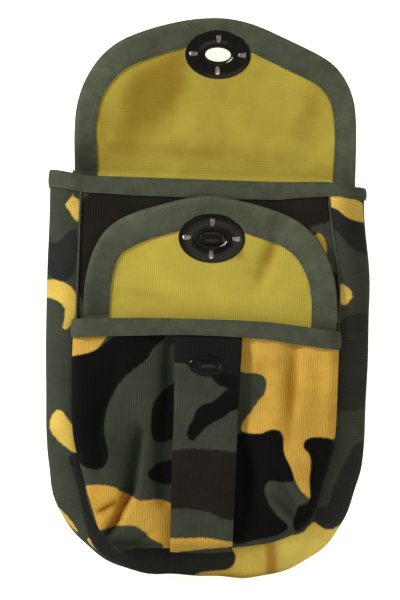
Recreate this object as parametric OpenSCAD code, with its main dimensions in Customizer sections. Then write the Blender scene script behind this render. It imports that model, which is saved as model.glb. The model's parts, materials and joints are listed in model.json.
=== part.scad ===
// Canvas belt pouch with a pleated front pocket, both flaps open, closed by turn locks.
// Drawn lying on its back: X to its right, Y up to its mouth, Z out of its front.
// All sizes are in millimetres. The last step stands it upright at its belt loops.

/* [Pouch] */
// Width over the bulged gusset
body_w = 160; // [145:1:190]
// Height from the bottom to the mouth
body_h = 198.5; // [180:0.5:230]
// Depth over the front and back panels
body_d = 22; // [18:0.5:40]
// Width of the front panel between its seams
panel_w = 130; // [115:1:140]
// Lower corner radius of the front panel
corner_r = 45; // [35:1:55]
// Width of the back panel between its seams
back_w = 140; // [125:1:150]
// Radius of the piping on the two seams
piping_r = 1; // [0.7:0.1:1.2]
// Height of the tape folded over the mouth
mouth_tape = 10; // [7:0.5:14]

/* [Cloth] */
// Thickness of the printed canvas
cloth_t = 0.8; // [0.5:0.05:1.2]
// Thickness of the plain lining
lining_t = 0.7; // [0.4:0.05:1]
// Thickness of the binding tape
tape_t = 0.7; // [0.4:0.05:1]

/* [Main flap] */
// Width of the main flap
flap_w = 141; // [120:1:150]
// Crown radius of the flap's tip for each millimetre of half width
flap_crown = 1.2; // [1.05:0.01:1.6]
// Shoulder radius of the main flap
flap_shoulder = 25; // [18:1:35]
// Distance from the eyelet's centre to the flap's tip
flap_tip = 18.6; // [15:0.1:30]
// Width of the tape round the main flap
flap_tape = 11; // [8:0.5:14]

/* [Pocket] */
// Fall from the mouth of the pouch to the lip of the pocket
pocket_drop = 70; // [60:0.5:95]
// How far the pleat stands out from the front panel
pocket_d = 13; // [10:0.5:20]
// Inward step from the front seam to the straight of the pocket's front
pocket_step = 4.5; // [4:0.1:8]
// Height of the tape folded over the pocket's mouth
pocket_tape = 7.5; // [5:0.5:10]
// Width of the box pleat
pleat_w = 32; // [24:1:38]
// Thickness of the box pleat
pleat_t = 1.7; // [1.4:0.1:2.4]

/* [Pocket flap] */
// Width of the pocket flap
pflap_w = 126; // [110:1:130]
// Crown radius of the pocket flap's tip for each millimetre of half width
pflap_crown = 1.25; // [1.05:0.01:1.6]
// Shoulder radius of the pocket flap
pflap_shoulder = 30; // [18:1:35]
// Distance from the eyelet's centre to the pocket flap's tip
pflap_tip = 21.4; // [15:0.1:30]
// Width of the tape round the pocket flap
pflap_tape = 10; // [7:0.5:13]
// Depth of the hem that carries the pocket flap
hem_h = 9; // [6:0.5:14]

/* [Turn locks] */
// Drop of the pocket's turn button below the pocket's mouth
button_drop = 22.9; // [20:0.1:32]
// Width of the eyelet plates
eyelet_w = 33; // [27:0.5:36]
// Height of the eyelet plates
eyelet_h = 24.5; // [20:0.5:28]
// Width of the eyelet's hole
hole_w = 14; // [12.5:0.1:16]
// Height of the eyelet's hole
hole_h = 8; // [7.5:0.1:9]
// Thickness of one eyelet plate
plate_t = 0.6; // [0.5:0.05:0.9]
// Width of the turn button's base
base_w = 18.5; // [16:0.5:24]
// Height of the turn button's base
base_h = 10.5; // [9:0.5:14]
// Thickness of the turn button's base
base_t = 1.4; // [1:0.1:2]
// Length of the knob's head
knob_l = 10.7; // [9.5:0.1:12]
// Thickness of the knob's head across its flats
knob_w = 4; // [3.4:0.1:4.4]
// Height of the knob's head
knob_h = 3; // [2.4:0.1:4]
// Radius of the knob's spindle
spindle_r = 1.7; // [1.3:0.05:1.9]
// Outer radius of the barrel in the base
barrel_r = 2.9; // [2.6:0.1:3.4]

/* [Belt loops] */
// Width of the belt loop webbing
loop_w = 34; // [25:1:45]
// Clear height between a loop's stitched ends
loop_slot = 58; // [45:1:65]
// Height of each stitched end
loop_end = 12; // [8:0.5:18]
// Clear gap behind the loop
loop_gap = 5; // [4.6:0.1:8]
// Thickness of the belt loop webbing
loop_t = 1.6; // [1:0.1:2.5]
// From each edge of the back panel in to the belt loop
loop_inset = 15; // [8:0.5:22]
// Height of the loops' centre above the pouch's bottom
loop_y = 148; // [100:1:155]

/* [Hidden] */
$fn = 64;

// Clearances: between cloths that move, at a fold's seat, at a spindle's bore, and through cloth
air = 0.3;
seat = 0.25;
bore = 0.06;
slack = 0.3;
// Gaps under a raised flap, between the two closed flaps, and from a lip to the rim above it
under = 0.2;
flap_gap = 0.35;
lip_gap = 0.45;
// How far below its button each eyelet closes, and how far above it the raised pocket eyelet rests
main_bias = 1.3;
pocket_bias = 0.5;
perch = 0.8;

// The U that the panels, the gusset and the pocket share
cx = panel_w / 2 - corner_r;
rho_out = body_w / 2 - cx;
rho_back = back_w / 2 - cx;
cy = rho_out;

// Thickness of a flap's cloth, of its taped rim and through its eyelet
flap_t = cloth_t + lining_t;
rim_t = flap_t + 2 * tape_t;
lock_t = flap_t + 2 * plate_t;
stack = max(rim_t, lock_t);

// Heights above the front panel of the raised pocket flap and of the closed main flap
rest_off = base_t + under + max(lock_t / 2, rim_t / 2 - base_t + air);
main_off = rest_off + stack + flap_gap;

// The pocket flap's two folds, its eyelet and its turn button
pocket_h = body_h - pocket_drop;
pfold_y = pocket_h + rim_t / 2 + lip_gap;
pfold_z = body_d + rest_off;
pfold2_y = pfold_y + pocket_d;
pbutton_y = pocket_h - button_drop;
peyelet_y = pfold2_y + pfold_y - pbutton_y + pocket_bias;
pflap_apex = peyelet_y + pflap_tip;

// The main flap's two folds, its eyelet and its turn button, which stands in the raised pocket eyelet
fold_y = body_h + rim_t / 2 + lip_gap;
fold_z = flap_t / 2;
fold2_y = fold_y + body_d + main_off - fold_z;
button_y = peyelet_y - perch;
eyelet_y = fold2_y + fold_y - button_y + main_bias;
flap_apex = eyelet_y + flap_tip;

// Flap outlines: half width, crown radius, shoulder radius, tip, tape width
FLAP = [flap_w / 2, flap_crown * flap_w / 2, flap_shoulder, flap_apex, flap_tape];
PFLAP = [pflap_w / 2, pflap_crown * pflap_w / 2, pflap_shoulder, pflap_apex, pflap_tape];

// The pocket's front, its rolled edge and the pleat's face
pocket_face = body_d + pocket_d - pleat_t;
pocket_roll = (pocket_face - body_d) / 2;
pocket_rho = corner_r - pocket_step;
pleat_face = body_d + pocket_d;

// Half the distance between the belt loops
loop_x = back_w / 2 - loop_inset - loop_w / 2;

CANVAS = [0.36, 0.34, 0.2];
LINING = [0.66, 0.56, 0.24];
TAPE = [0.33, 0.36, 0.26];
METAL = [0.09, 0.09, 0.1];

function arc(c, r, a0, a1, n) =
    [for (i = [0:n]) c + r * [cos(a0 + (a1 - a0) * i / n), sin(a0 + (a1 - a0) * i / n)]];

// Centre of the circle through three points
function circle_at(a, b, c) =
    let (d = 2 * (a.x * (b.y - c.y) + b.x * (c.y - a.y) + c.x * (a.y - b.y)))
    [(a * a * (b.y - c.y) + b * b * (c.y - a.y) + c * c * (a.y - b.y)) / d,
     (a * a * (c.x - b.x) + b * b * (a.x - c.x) + c * c * (b.x - a.x)) / d];

function ellipse(w, h) = [for (i = [0:59]) [w / 2 * cos(i * 6), h / 2 * sin(i * 6)]];

// The gusset's section runs from the front seam over the bulge to the back seam
g_mid = [rho_out, body_d * 0.48];
g_c = circle_at([corner_r, body_d], g_mid, [rho_back, 0]);
g_r = norm(g_mid - g_c);

// Stands the lying pouch upright, with the belt loops' centre at the origin
module place() {
    translate([0, 0, -loop_y])
        rotate([90, 0, 0])
            children();
}

// Sweeps a section, drawn outward and forward, down one side, round the bottom and up the other
module u_sweep(top) {
    for (s = [0, 1])
        mirror([s, 0, 0])
            translate([cx, 0, 0]) {
                translate([0, top, 0])
                    rotate([90, 0, 0])
                        linear_extrude(top - cy)
                            children();
                translate([0, cy, 0])
                    rotate(-90)
                        rotate_extrude(angle = 90)
                            children();
            }
    translate([cx, cy, 0])
        rotate(-90)
            rotate([90, 0, 0])
                linear_extrude(2 * cx)
                    children();
}

// Outline of a panel whose sides and rounded bottom follow the U
module u_plan(rho, top) {
    polygon(concat(
        arc([cx, cy], rho, 0, -90, 14),
        arc([-cx, cy], rho, -90, -180, 14),
        [[-cx - rho, top], [cx + rho, top]]
    ));
}

// Band of cloth on a circle, from radius r inward
module band(c, r, t) {
    translate(c)
        difference() {
            circle(r);
            circle(r - t);
        }
}

// The gusset's section, grown by g to each side
module gusset_section(g) {
    intersection() {
        band(g_c, g_r + g, cloth_t + 2 * g);
        polygon([
            [corner_r + 0.05, g_mid.y], [corner_r + 0.05, body_d + 9], [rho_out + 9, body_d + 9],
            [rho_out + 9, -9], [rho_back + 0.05, -9], [rho_back + 0.05, g_mid.y]
        ]);
    }
}

// The pocket's rolled edge, grown by g to each side and stopped at height low
module roll_section(g, low) {
    intersection() {
        band([pocket_rho, body_d + pocket_roll], pocket_roll + g, cloth_t + 2 * g);
        translate([pocket_rho, low])
            square([pocket_roll + 9, pocket_face + 9 - low]);
    }
}

// Outline of a flap with its edge moved inward, from height y0 to its tip
module flap_plan(f, inset, y0) {
    hw = f[0] - inset;
    c = f[3] - f[1];
    sx = f[0] - f[2];
    sy = c + sqrt(pow(f[1] - f[2], 2) - sx * sx);
    a = atan2(sy - c, sx);
    polygon(concat(
        [[hw, y0]],
        arc([sx, sy], f[2] - inset, 0, a, 6),
        arc([0, c], f[1] - inset, a, 180 - a, 24),
        arc([-sx, sy], f[2] - inset, 180 - a, 180, 6),
        [[-hw, y0]]
    ));
}

// A plain rectangle of flap cloth between two folds
module bridge_plan(hw, y0, y1) {
    translate([-hw, y0])
        square([2 * hw, y1 - y0]);
}

// A layer of cloth between two heights
module layer(z0, z1) {
    translate([0, 0, z0])
        linear_extrude(z1 - z0)
            children();
}

// A round bar along the fold, on which the cloth turns
module fold_bar(y, z, r, half) {
    translate([-half, y, z])
        rotate([0, 90, 0])
            cylinder(r = r, h = 2 * half);
}

// The hollow that a fold turns in, open to the front
module fold_seat(y, z, half) {
    r = flap_t / 2 + seat;
    fold_bar(y, z, r, half);
    translate([-half, y - r, z])
        cube([2 * half, r + 1, flap_t]);
}

// Holes that an eyelet needs in the cloth
module eyelet_cuts(y) {
    translate([0, y, 0]) {
        polygon(ellipse(hole_w + 2 * plate_t + 2 * slack, hole_h + 2 * plate_t + 2 * slack));
        for (i = [0:3])
            prong_at(i)
                square([prong_t + 2 * slack, prong_w + 2 * slack], center = true);
    }
}

// Prongs stand at the four points of the plate, midway between the hole and the edge
prong_t = 0.8;
prong_w = 2.4;
module prong_at(i) {
    r = i % 2 == 0 ? (hole_w + eyelet_w) / 4 + plate_t : (hole_h + eyelet_h) / 4 + plate_t;
    rotate(90 * i)
        translate([r, 0])
            children();
}

// A prong's bent tip, tapering towards the hole
module prong_tip(g) {
    l = (eyelet_h - hole_h) / 8;
    polygon([
        [prong_t / 2 + g, -prong_w / 2 - g], [prong_t / 2 + g, prong_w / 2 + g],
        [-l - g, prong_w / 4 + g], [-l - g, -prong_w / 4 - g]
    ]);
}

// A pressed plate with a stepped edge, with its flat face at z0 facing away from dir
module pressed_plate(z0, dir) {
    step = 1.6;
    translate([0, 0, z0])
        mirror([0, 0, dir < 0 ? 1 : 0]) {
            linear_extrude(plate_t * 0.6)
                polygon(ellipse(eyelet_w, eyelet_h));
            linear_extrude(plate_t)
                polygon(ellipse(eyelet_w - step, eyelet_h - step));
        }
}

// Face of an eyelet: a pressed plate, the collar through the cloth and the four clinched prongs
module eyelet_face(y, z) {
    low = z - flap_t / 2;
    high = z + flap_t / 2 + plate_t * 0.6;
    color(METAL)
        translate([0, y, 0]) {
            difference() {
                union() {
                    pressed_plate(low, -1);
                    layer(low - 0.1, high)
                        polygon(ellipse(hole_w + 2 * plate_t, hole_h + 2 * plate_t));
                }
                layer(low - 5, high + 5)
                    polygon(ellipse(hole_w, hole_h));
            }
            for (i = [0:3]) {
                layer(low - 0.1, high)
                    prong_at(i)
                        square([prong_t, prong_w], center = true);
                layer(z + flap_t / 2 + 0.05, high)
                    prong_at(i)
                        prong_tip(0);
            }
        }
}

// Back plate of an eyelet, on the lining's side, with a slot for each prong
module eyelet_back(y, z) {
    top = z + flap_t / 2;
    color(METAL)
        translate([0, y, 0])
            difference() {
                pressed_plate(top, 1);
                layer(top - 1, top + 5)
                    polygon(ellipse(hole_w + 2 * plate_t + 0.1, hole_h + 2 * plate_t + 0.1));
                for (i = [0:3])
                    layer(top - 1, top + 5)
                        prong_at(i)
                            prong_tip(0.1);
            }
}

// Base of a turn button at height z on the cloth, with the barrel that goes through cloth of thickness t
module button_base(y, z, t) {
    crown = base_w * base_w / 8 / (base_t * 0.45);
    color(METAL)
        translate([0, y, z])
            difference() {
                union() {
                    intersection() {
                        linear_extrude(base_t)
                            polygon(ellipse(base_w, base_h));
                        translate([0, 0, base_t - crown])
                            sphere(crown, $fn = 200);
                    }
                    translate([0, 0, -t - plate_t])
                        cylinder(r = barrel_r, h = t + plate_t + base_t / 2);
                }
                translate([0, 0, -t - 5])
                    cylinder(r = spindle_r + bore, h = t + 10);
            }
}

// Clinch plate pressed on the barrel behind the cloth
module button_clinch(y, z, t) {
    color(METAL)
        translate([0, y, z - t - plate_t])
            difference() {
                linear_extrude(plate_t)
                    polygon(ellipse(base_w - 1.5, base_h - 1));
                translate([0, 0, -1])
                    cylinder(r = barrel_r, h = plate_t + 2);
            }
}

// Three-waved detent spring between the barrel and the spindle's head
spring_h = 0.9;
module button_spring(y, z, t) {
    color(METAL)
        translate([0, y, z - t - plate_t - spring_h])
            difference() {
                cylinder(r = barrel_r, h = spring_h - 0.05);
                translate([0, 0, -1])
                    cylinder(r = spindle_r + 0.3, h = spring_h + 2);
                for (i = [0:2])
                    rotate(120 * i) {
                        translate([0, 0, spring_h])
                            rotate([0, 90, 0])
                                cylinder(r = spring_h * 0.55, h = barrel_r + 1);
                        rotate(60)
                            translate([0, 0, -0.05])
                                rotate([0, 90, 0])
                                    cylinder(r = spring_h * 0.55, h = barrel_r + 1);
                    }
            }
}

// Turning knob: a loaf-shaped head on a spindle with a riveted end
module button_knob(y, z, t, head) {
    end = -t - plate_t - spring_h - 0.2;
    color(METAL)
        translate([0, y, z]) {
            intersection() {
                translate([0, 0, head])
                    linear_extrude(knob_h)
                        for (s = [-1, 1])
                            translate([s * (knob_l - knob_w) / 4, 0])
                                knob_half();
                translate([-knob_l, 0, head + knob_h - knob_w * 0.62])
                    rotate([0, 90, 0])
                        cylinder(r = knob_w * 0.62, h = 2 * knob_l);
            }
            translate([0, 0, end])
                cylinder(r = spindle_r, h = head + knob_h / 2 - end);
            translate([0, 0, end - 0.6])
                cylinder(r = barrel_r - 0.2, h = 0.6);
        }
}

// Half of the head's outline, round at both ends
module knob_half() {
    w = (knob_l - knob_w) / 2;
    square([w + 0.01, knob_w], center = true);
    for (s = [-1, 1])
        translate([s * w / 2, 0])
            circle(knob_w / 2);
}

// One belt loop of webbing, stitched flat at both ends and standing off between them
module belt_loop(side) {
    y1 = loop_slot / 2;
    y2 = y1 + loop_end;
    ramp = loop_gap * 0.8;
    color(TAPE)
        translate([side * loop_x - loop_w / 2, loop_y, 0])
            rotate([90, 0, 90])
                linear_extrude(loop_w)
                    difference() {
                        polygon([
                            [-y2, 0], [y2, 0], [y2, -loop_t], [y1 + loop_t, -loop_t],
                            [y1 + loop_t - ramp, -loop_gap - loop_t],
                            [ramp - y1 - loop_t, -loop_gap - loop_t], [-y1 - loop_t, -loop_t], [-y2, -loop_t]
                        ]);
                        polygon([[-y1, 1], [y1, 1], [y1, 0], [y1 - ramp, -loop_gap], [ramp - y1, -loop_gap], [-y1, 0]]);
                    }
}

// Tape folded over the two sides of a bridge
module bridge_tape(f, y0, y1, z) {
    color(TAPE)
        difference() {
            layer(z - rim_t / 2, z + rim_t / 2)
                bridge_plan(f[0], y0, y1);
            layer(z - flap_t / 2, z + flap_t / 2)
                bridge_plan(f[0] - tape_t, y0 - 1, y1 + 1);
            layer(z - rim_t, z + rim_t)
                bridge_plan(f[0] - f[4], y0 - 1, y1 + 1);
        }
}

// Tape folded over the edge of a flap
module flap_tape_ring(f, y0, z, lock_y) {
    color(TAPE)
        difference() {
            layer(z - rim_t / 2, z + rim_t / 2)
                flap_plan(f, 0, y0);
            layer(z - flap_t / 2, z + flap_t / 2)
                flap_plan(f, tape_t, y0 - 1);
            layer(z - rim_t, z + rim_t) {
                flap_plan(f, f[4], y0 - 1);
                translate([0, lock_y])
                    polygon(ellipse(eyelet_w + 2 * slack, eyelet_h + 2 * slack));
            }
        }
}

// Outer canvas of a bridge: it turns on its lower fold and seats the flap at its upper one
module bridge_outer(f, y0, y1, z) {
    half = f[0] - f[4] - 1;
    color(CANVAS)
        difference() {
            union() {
                layer(z - flap_t / 2, z - flap_t / 2 + cloth_t)
                    bridge_plan(f[0] - tape_t, y0, y1);
                fold_bar(y0, z, flap_t / 2 - 0.05, half);
            }
            fold_seat(y1, z, f[0] + 1);
        }
}

module bridge_lining(f, y0, y1, z) {
    color(LINING)
        difference() {
            layer(z - flap_t / 2 + cloth_t, z + flap_t / 2)
                bridge_plan(f[0] - tape_t, y0 + flap_t / 2 + seat, y1);
            fold_seat(y1, z, f[0] + 1);
        }
}

// Outer canvas of a flap, turning on the fold at y0
module flap_outer(f, y0, z, ey) {
    half = f[0] - f[4] - 1;
    color(CANVAS) {
        layer(z - flap_t / 2, z - flap_t / 2 + cloth_t)
            difference() {
                flap_plan(f, tape_t, y0);
                eyelet_cuts(ey);
            }
        fold_bar(y0, z, flap_t / 2 - 0.05, half);
    }
}

module flap_lining(f, y0, z, ey) {
    color(LINING)
        layer(z - flap_t / 2 + cloth_t, z + flap_t / 2)
            difference() {
                flap_plan(f, tape_t, y0 + flap_t / 2 + seat);
                eyelet_cuts(ey);
            }
}

// Tapes stop this far from a fold line
tape_stop = 2.5;

module back_panel() {
    color(CANVAS)
        difference() {
            layer(0, flap_t)
                u_plan(rho_back, fold_y);
            fold_seat(fold_y, fold_z, back_w);
        }
}

module front_panel() {
    color(CANVAS)
        layer(body_d - cloth_t, body_d)
            difference() {
                u_plan(corner_r, body_h - tape_t);
                translate([0, button_y])
                    circle(barrel_r + slack);
            }
}

module gusset() {
    color(CANVAS)
        u_sweep(body_h - tape_t)
            gusset_section(0);
}

module front_piping() {
    color(TAPE)
        u_sweep(body_h - mouth_tape - air)
            translate([corner_r - piping_r, body_d])
                intersection() {
                    circle(piping_r);
                    translate([-piping_r, 0])
                        square(2 * piping_r);
                }
}

module back_piping() {
    color(TAPE)
        u_sweep(body_h - mouth_tape - air)
            translate([rho_back - piping_r, 0])
                intersection() {
                    circle(piping_r);
                    translate([-piping_r, -2 * piping_r])
                        square(2 * piping_r);
                }
}

// Section of the folded mouth tape, grown by g over the canvas
module mouth_section(g) {
    translate([-panel_w / 2 - 0.6, body_d - cloth_t - g])
        square([panel_w + 1.2, cloth_t + 2 * g]);
    for (s = [0, 1])
        mirror([s, 0])
            translate([cx, 0])
                intersection() {
                    gusset_section(g);
                    translate([0, flap_t + air + tape_t])
                        square([body_w, body_d * 2]);
                }
}

module mouth_binding() {
    color(TAPE)
        translate([0, body_h, 0])
            rotate([90, 0, 0])
                difference() {
                    linear_extrude(mouth_tape)
                        mouth_section(tape_t);
                    translate([0, 0, tape_t])
                        linear_extrude(mouth_tape)
                            mouth_section(0);
                }
}

module pocket_panel() {
    color(CANVAS) {
        u_sweep(pocket_h - tape_t)
            roll_section(0, body_d + 0.02);
        layer(pocket_face - cloth_t, pocket_face)
            difference() {
                u_plan(pocket_rho, pocket_h - tape_t);
                translate([0, pbutton_y])
                    circle(barrel_r + slack);
            }
    }
}

// Box pleat: a strip with both edges folded under, down the pocket's front and round its bottom
module pocket_pleat() {
    fit = 0.05;
    bend = [cy - pocket_rho, body_d + pocket_roll];
    top = pocket_h - pocket_tape - air;
    color(CANVAS)
        difference() {
            translate([-pleat_w / 2, 0, 0])
                rotate([90, 0, 90])
                    linear_extrude(pleat_w)
                        union() {
                            translate([bend.x, pocket_face + fit])
                                square([top - bend.x, pleat_t - fit]);
                            intersection() {
                                band(bend, pocket_roll + pleat_t, pleat_t - fit);
                                translate([0, body_d + pocket_roll * 0.6])
                                    square([bend.x, body_d]);
                            }
                        }
            translate([-pleat_w / 4, bend.x + 2, pocket_face - 1])
                cube([pleat_w / 2, top, 1 + pleat_t / 2]);
            translate([0, pbutton_y, pocket_face - 5])
                cylinder(r = barrel_r + slack, h = 20);
        }
}

// Section of the folded pocket tape, grown by g over the canvas
module pocket_mouth_section(g) {
    translate([-cx - pocket_rho - 0.1, pocket_face - cloth_t - g])
        square([2 * (cx + pocket_rho) + 0.2, cloth_t + 2 * g]);
    for (s = [0, 1])
        mirror([s, 0])
            translate([cx, 0])
                roll_section(g, body_d + piping_r + air);
}

module pocket_binding() {
    color(TAPE)
        translate([0, pocket_h, 0])
            rotate([90, 0, 0])
                difference() {
                    linear_extrude(pocket_tape)
                        pocket_mouth_section(tape_t);
                    translate([0, 0, tape_t])
                        linear_extrude(pocket_tape)
                            pocket_mouth_section(0);
                }
}

// Folded hem sewn to the front panel, which seats the pocket flap
module pocket_flap_hem() {
    half = PFLAP[0] - PFLAP[4];
    color(CANVAS)
        difference() {
            layer(body_d, pfold_z + flap_t / 2)
                bridge_plan(half, pfold_y - hem_h, pfold_y);
            fold_seat(pfold_y, pfold_z, half + 1);
            layer(body_d - 1, pfold_z - flap_t / 2)
                bridge_plan(half + 1, pfold_y - hem_h / 2, pfold_y + 1);
        }
}

module belt_loop_left() {
    belt_loop(-1);
}

module belt_loop_right() {
    belt_loop(1);
}

module main_button_base() {
    button_base(button_y, body_d, cloth_t);
}

module main_button_clinch_plate() {
    button_clinch(button_y, body_d, cloth_t);
}

module main_button_spring() {
    button_spring(button_y, body_d, cloth_t);
}

module main_button_knob() {
    button_knob(button_y, body_d, cloth_t, main_off + lock_t / 2 + air);
}

module pocket_button_base() {
    button_base(pbutton_y, pleat_face, pleat_t + cloth_t);
}

module pocket_button_clinch_plate() {
    button_clinch(pbutton_y, pleat_face, pleat_t + cloth_t);
}

module pocket_button_spring() {
    button_spring(pbutton_y, pleat_face, pleat_t + cloth_t);
}

module pocket_button_knob() {
    button_knob(pbutton_y, pleat_face, pleat_t + cloth_t, rest_off + lock_t / 2 + air);
}

module main_bridge_outer() {
    bridge_outer(FLAP, fold_y, fold2_y, fold_z);
}

module main_bridge_lining() {
    bridge_lining(FLAP, fold_y, fold2_y, fold_z);
}

module main_bridge_binding() {
    bridge_tape(FLAP, fold_y + tape_stop, fold2_y - tape_stop, fold_z);
}

module main_flap_outer() {
    flap_outer(FLAP, fold2_y, fold_z, eyelet_y);
}

module main_flap_lining() {
    flap_lining(FLAP, fold2_y, fold_z, eyelet_y);
}

module main_flap_binding() {
    flap_tape_ring(FLAP, fold2_y + tape_stop, fold_z, eyelet_y);
}

module main_eyelet() {
    eyelet_face(eyelet_y, fold_z);
}

module main_eyelet_backplate() {
    eyelet_back(eyelet_y, fold_z);
}

module pocket_bridge_outer() {
    bridge_outer(PFLAP, pfold_y, pfold2_y, pfold_z);
}

module pocket_bridge_lining() {
    bridge_lining(PFLAP, pfold_y, pfold2_y, pfold_z);
}

module pocket_bridge_binding() {
    bridge_tape(PFLAP, pfold_y + tape_stop, pfold2_y - tape_stop, pfold_z);
}

module pocket_flap_outer() {
    flap_outer(PFLAP, pfold2_y, pfold_z, peyelet_y);
}

module pocket_flap_lining() {
    flap_lining(PFLAP, pfold2_y, pfold_z, peyelet_y);
}

module pocket_flap_binding() {
    flap_tape_ring(PFLAP, pfold2_y + tape_stop, pfold_z, peyelet_y);
}

module pocket_eyelet() {
    eyelet_face(peyelet_y, pfold_z);
}

module pocket_eyelet_backplate() {
    eyelet_back(peyelet_y, pfold_z);
}

place() {
    back_panel();
    front_panel();
    gusset();
    front_piping();
    back_piping();
    mouth_binding();
    pocket_panel();
    pocket_pleat();
    pocket_binding();
    pocket_flap_hem();
    belt_loop_left();
    belt_loop_right();
    main_button_base();
    main_button_clinch_plate();
    main_button_spring();
    main_button_knob();
    pocket_button_base();
    pocket_button_clinch_plate();
    pocket_button_spring();
    pocket_button_knob();
    main_bridge_outer();
    main_bridge_lining();
    main_bridge_binding();
    main_flap_outer();
    main_flap_lining();
    main_flap_binding();
    main_eyelet();
    main_eyelet_backplate();
    pocket_bridge_outer();
    pocket_bridge_lining();
    pocket_bridge_binding();
    pocket_flap_outer();
    pocket_flap_lining();
    pocket_flap_binding();
    pocket_eyelet();
    pocket_eyelet_backplate();
}
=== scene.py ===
"""Canvas belt pouch with both flaps open: cloth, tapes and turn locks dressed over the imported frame."""

import json
import math

import bmesh
import bpy
import numpy as np
from mathutils import Matrix, Vector


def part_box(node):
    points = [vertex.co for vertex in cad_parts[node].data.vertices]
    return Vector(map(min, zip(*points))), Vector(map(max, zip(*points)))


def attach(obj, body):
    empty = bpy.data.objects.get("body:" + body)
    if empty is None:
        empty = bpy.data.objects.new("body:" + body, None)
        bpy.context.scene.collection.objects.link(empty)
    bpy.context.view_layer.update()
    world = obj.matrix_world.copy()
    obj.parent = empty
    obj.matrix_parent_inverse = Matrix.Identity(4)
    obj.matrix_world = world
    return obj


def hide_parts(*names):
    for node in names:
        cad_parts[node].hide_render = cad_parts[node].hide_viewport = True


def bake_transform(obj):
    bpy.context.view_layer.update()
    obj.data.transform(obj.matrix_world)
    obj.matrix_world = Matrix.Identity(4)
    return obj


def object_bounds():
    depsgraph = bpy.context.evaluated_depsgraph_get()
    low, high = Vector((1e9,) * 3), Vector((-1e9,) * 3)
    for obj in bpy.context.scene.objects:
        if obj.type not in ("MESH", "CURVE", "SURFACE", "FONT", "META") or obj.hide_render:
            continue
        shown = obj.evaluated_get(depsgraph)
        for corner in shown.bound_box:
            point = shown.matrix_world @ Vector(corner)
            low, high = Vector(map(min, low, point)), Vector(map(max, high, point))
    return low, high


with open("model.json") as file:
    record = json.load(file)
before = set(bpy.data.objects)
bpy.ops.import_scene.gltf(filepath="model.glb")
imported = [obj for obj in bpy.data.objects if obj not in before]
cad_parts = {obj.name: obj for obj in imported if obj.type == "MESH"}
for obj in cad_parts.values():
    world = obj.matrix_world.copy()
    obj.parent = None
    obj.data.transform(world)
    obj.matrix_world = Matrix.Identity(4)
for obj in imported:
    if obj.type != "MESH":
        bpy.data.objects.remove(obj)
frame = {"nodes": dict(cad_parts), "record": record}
CAD_BOX = [list(corner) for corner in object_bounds()]

bl_info = {
    "name": "Canvas belt pouch",
    "version": (1, 0, 0),
    "blender": (4, 5, 0),
    "location": "View3D > Sidebar > Pouch",
    "description": "Dresses the frame of a belt pouch in canvas, tape and black turn locks",
    "category": "Object",
}

# Pouch millimetres: x to the right, y up from the pouch's bottom, z out of its front.
MM = 0.001
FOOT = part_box("gusset")[0][2] / MM


def to_frame(points):
    """Pouch millimetres to frame metres."""
    p = np.asarray(points, float)
    return stacked(p[..., 0], -p[..., 2], p[..., 1] + FOOT) * MM


def span(node):
    """Lowest and highest corner of a CAD node in pouch millimetres."""
    low, high = (np.array(corner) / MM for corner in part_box(node))
    return (
        np.array([low[0], low[2] - FOOT, -high[1]]),
        np.array([high[0], high[2] - FOOT, -low[1]]),
    )


# The U that the panels, the gusset and the pocket share: its corner centres, and its radii from the frame.
HUB_X = 20.0
FRONT, BACK, SIDE = span("front_panel"), span("back_panel"), span("gusset")
RHO_FRONT = FRONT[1][0] - HUB_X
RHO_BACK = BACK[1][0] - HUB_X
RHO_OUT = SIDE[1][0] - HUB_X
HUB_Y = RHO_OUT
MOUTH_Y = FRONT[1][1]
FACE_Z = FRONT[1][2]
POCKET = span("pocket_panel")
POCKET_LIP = span("pocket_binding")[1][1]
PLEAT = span("pocket_pleat")
ROLL_R = (POCKET[1][2] - FACE_Z) / 2
ROLL_Z = FACE_Z + ROLL_R
ROLL_RHO = POCKET[1][0] - HUB_X - ROLL_R

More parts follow.
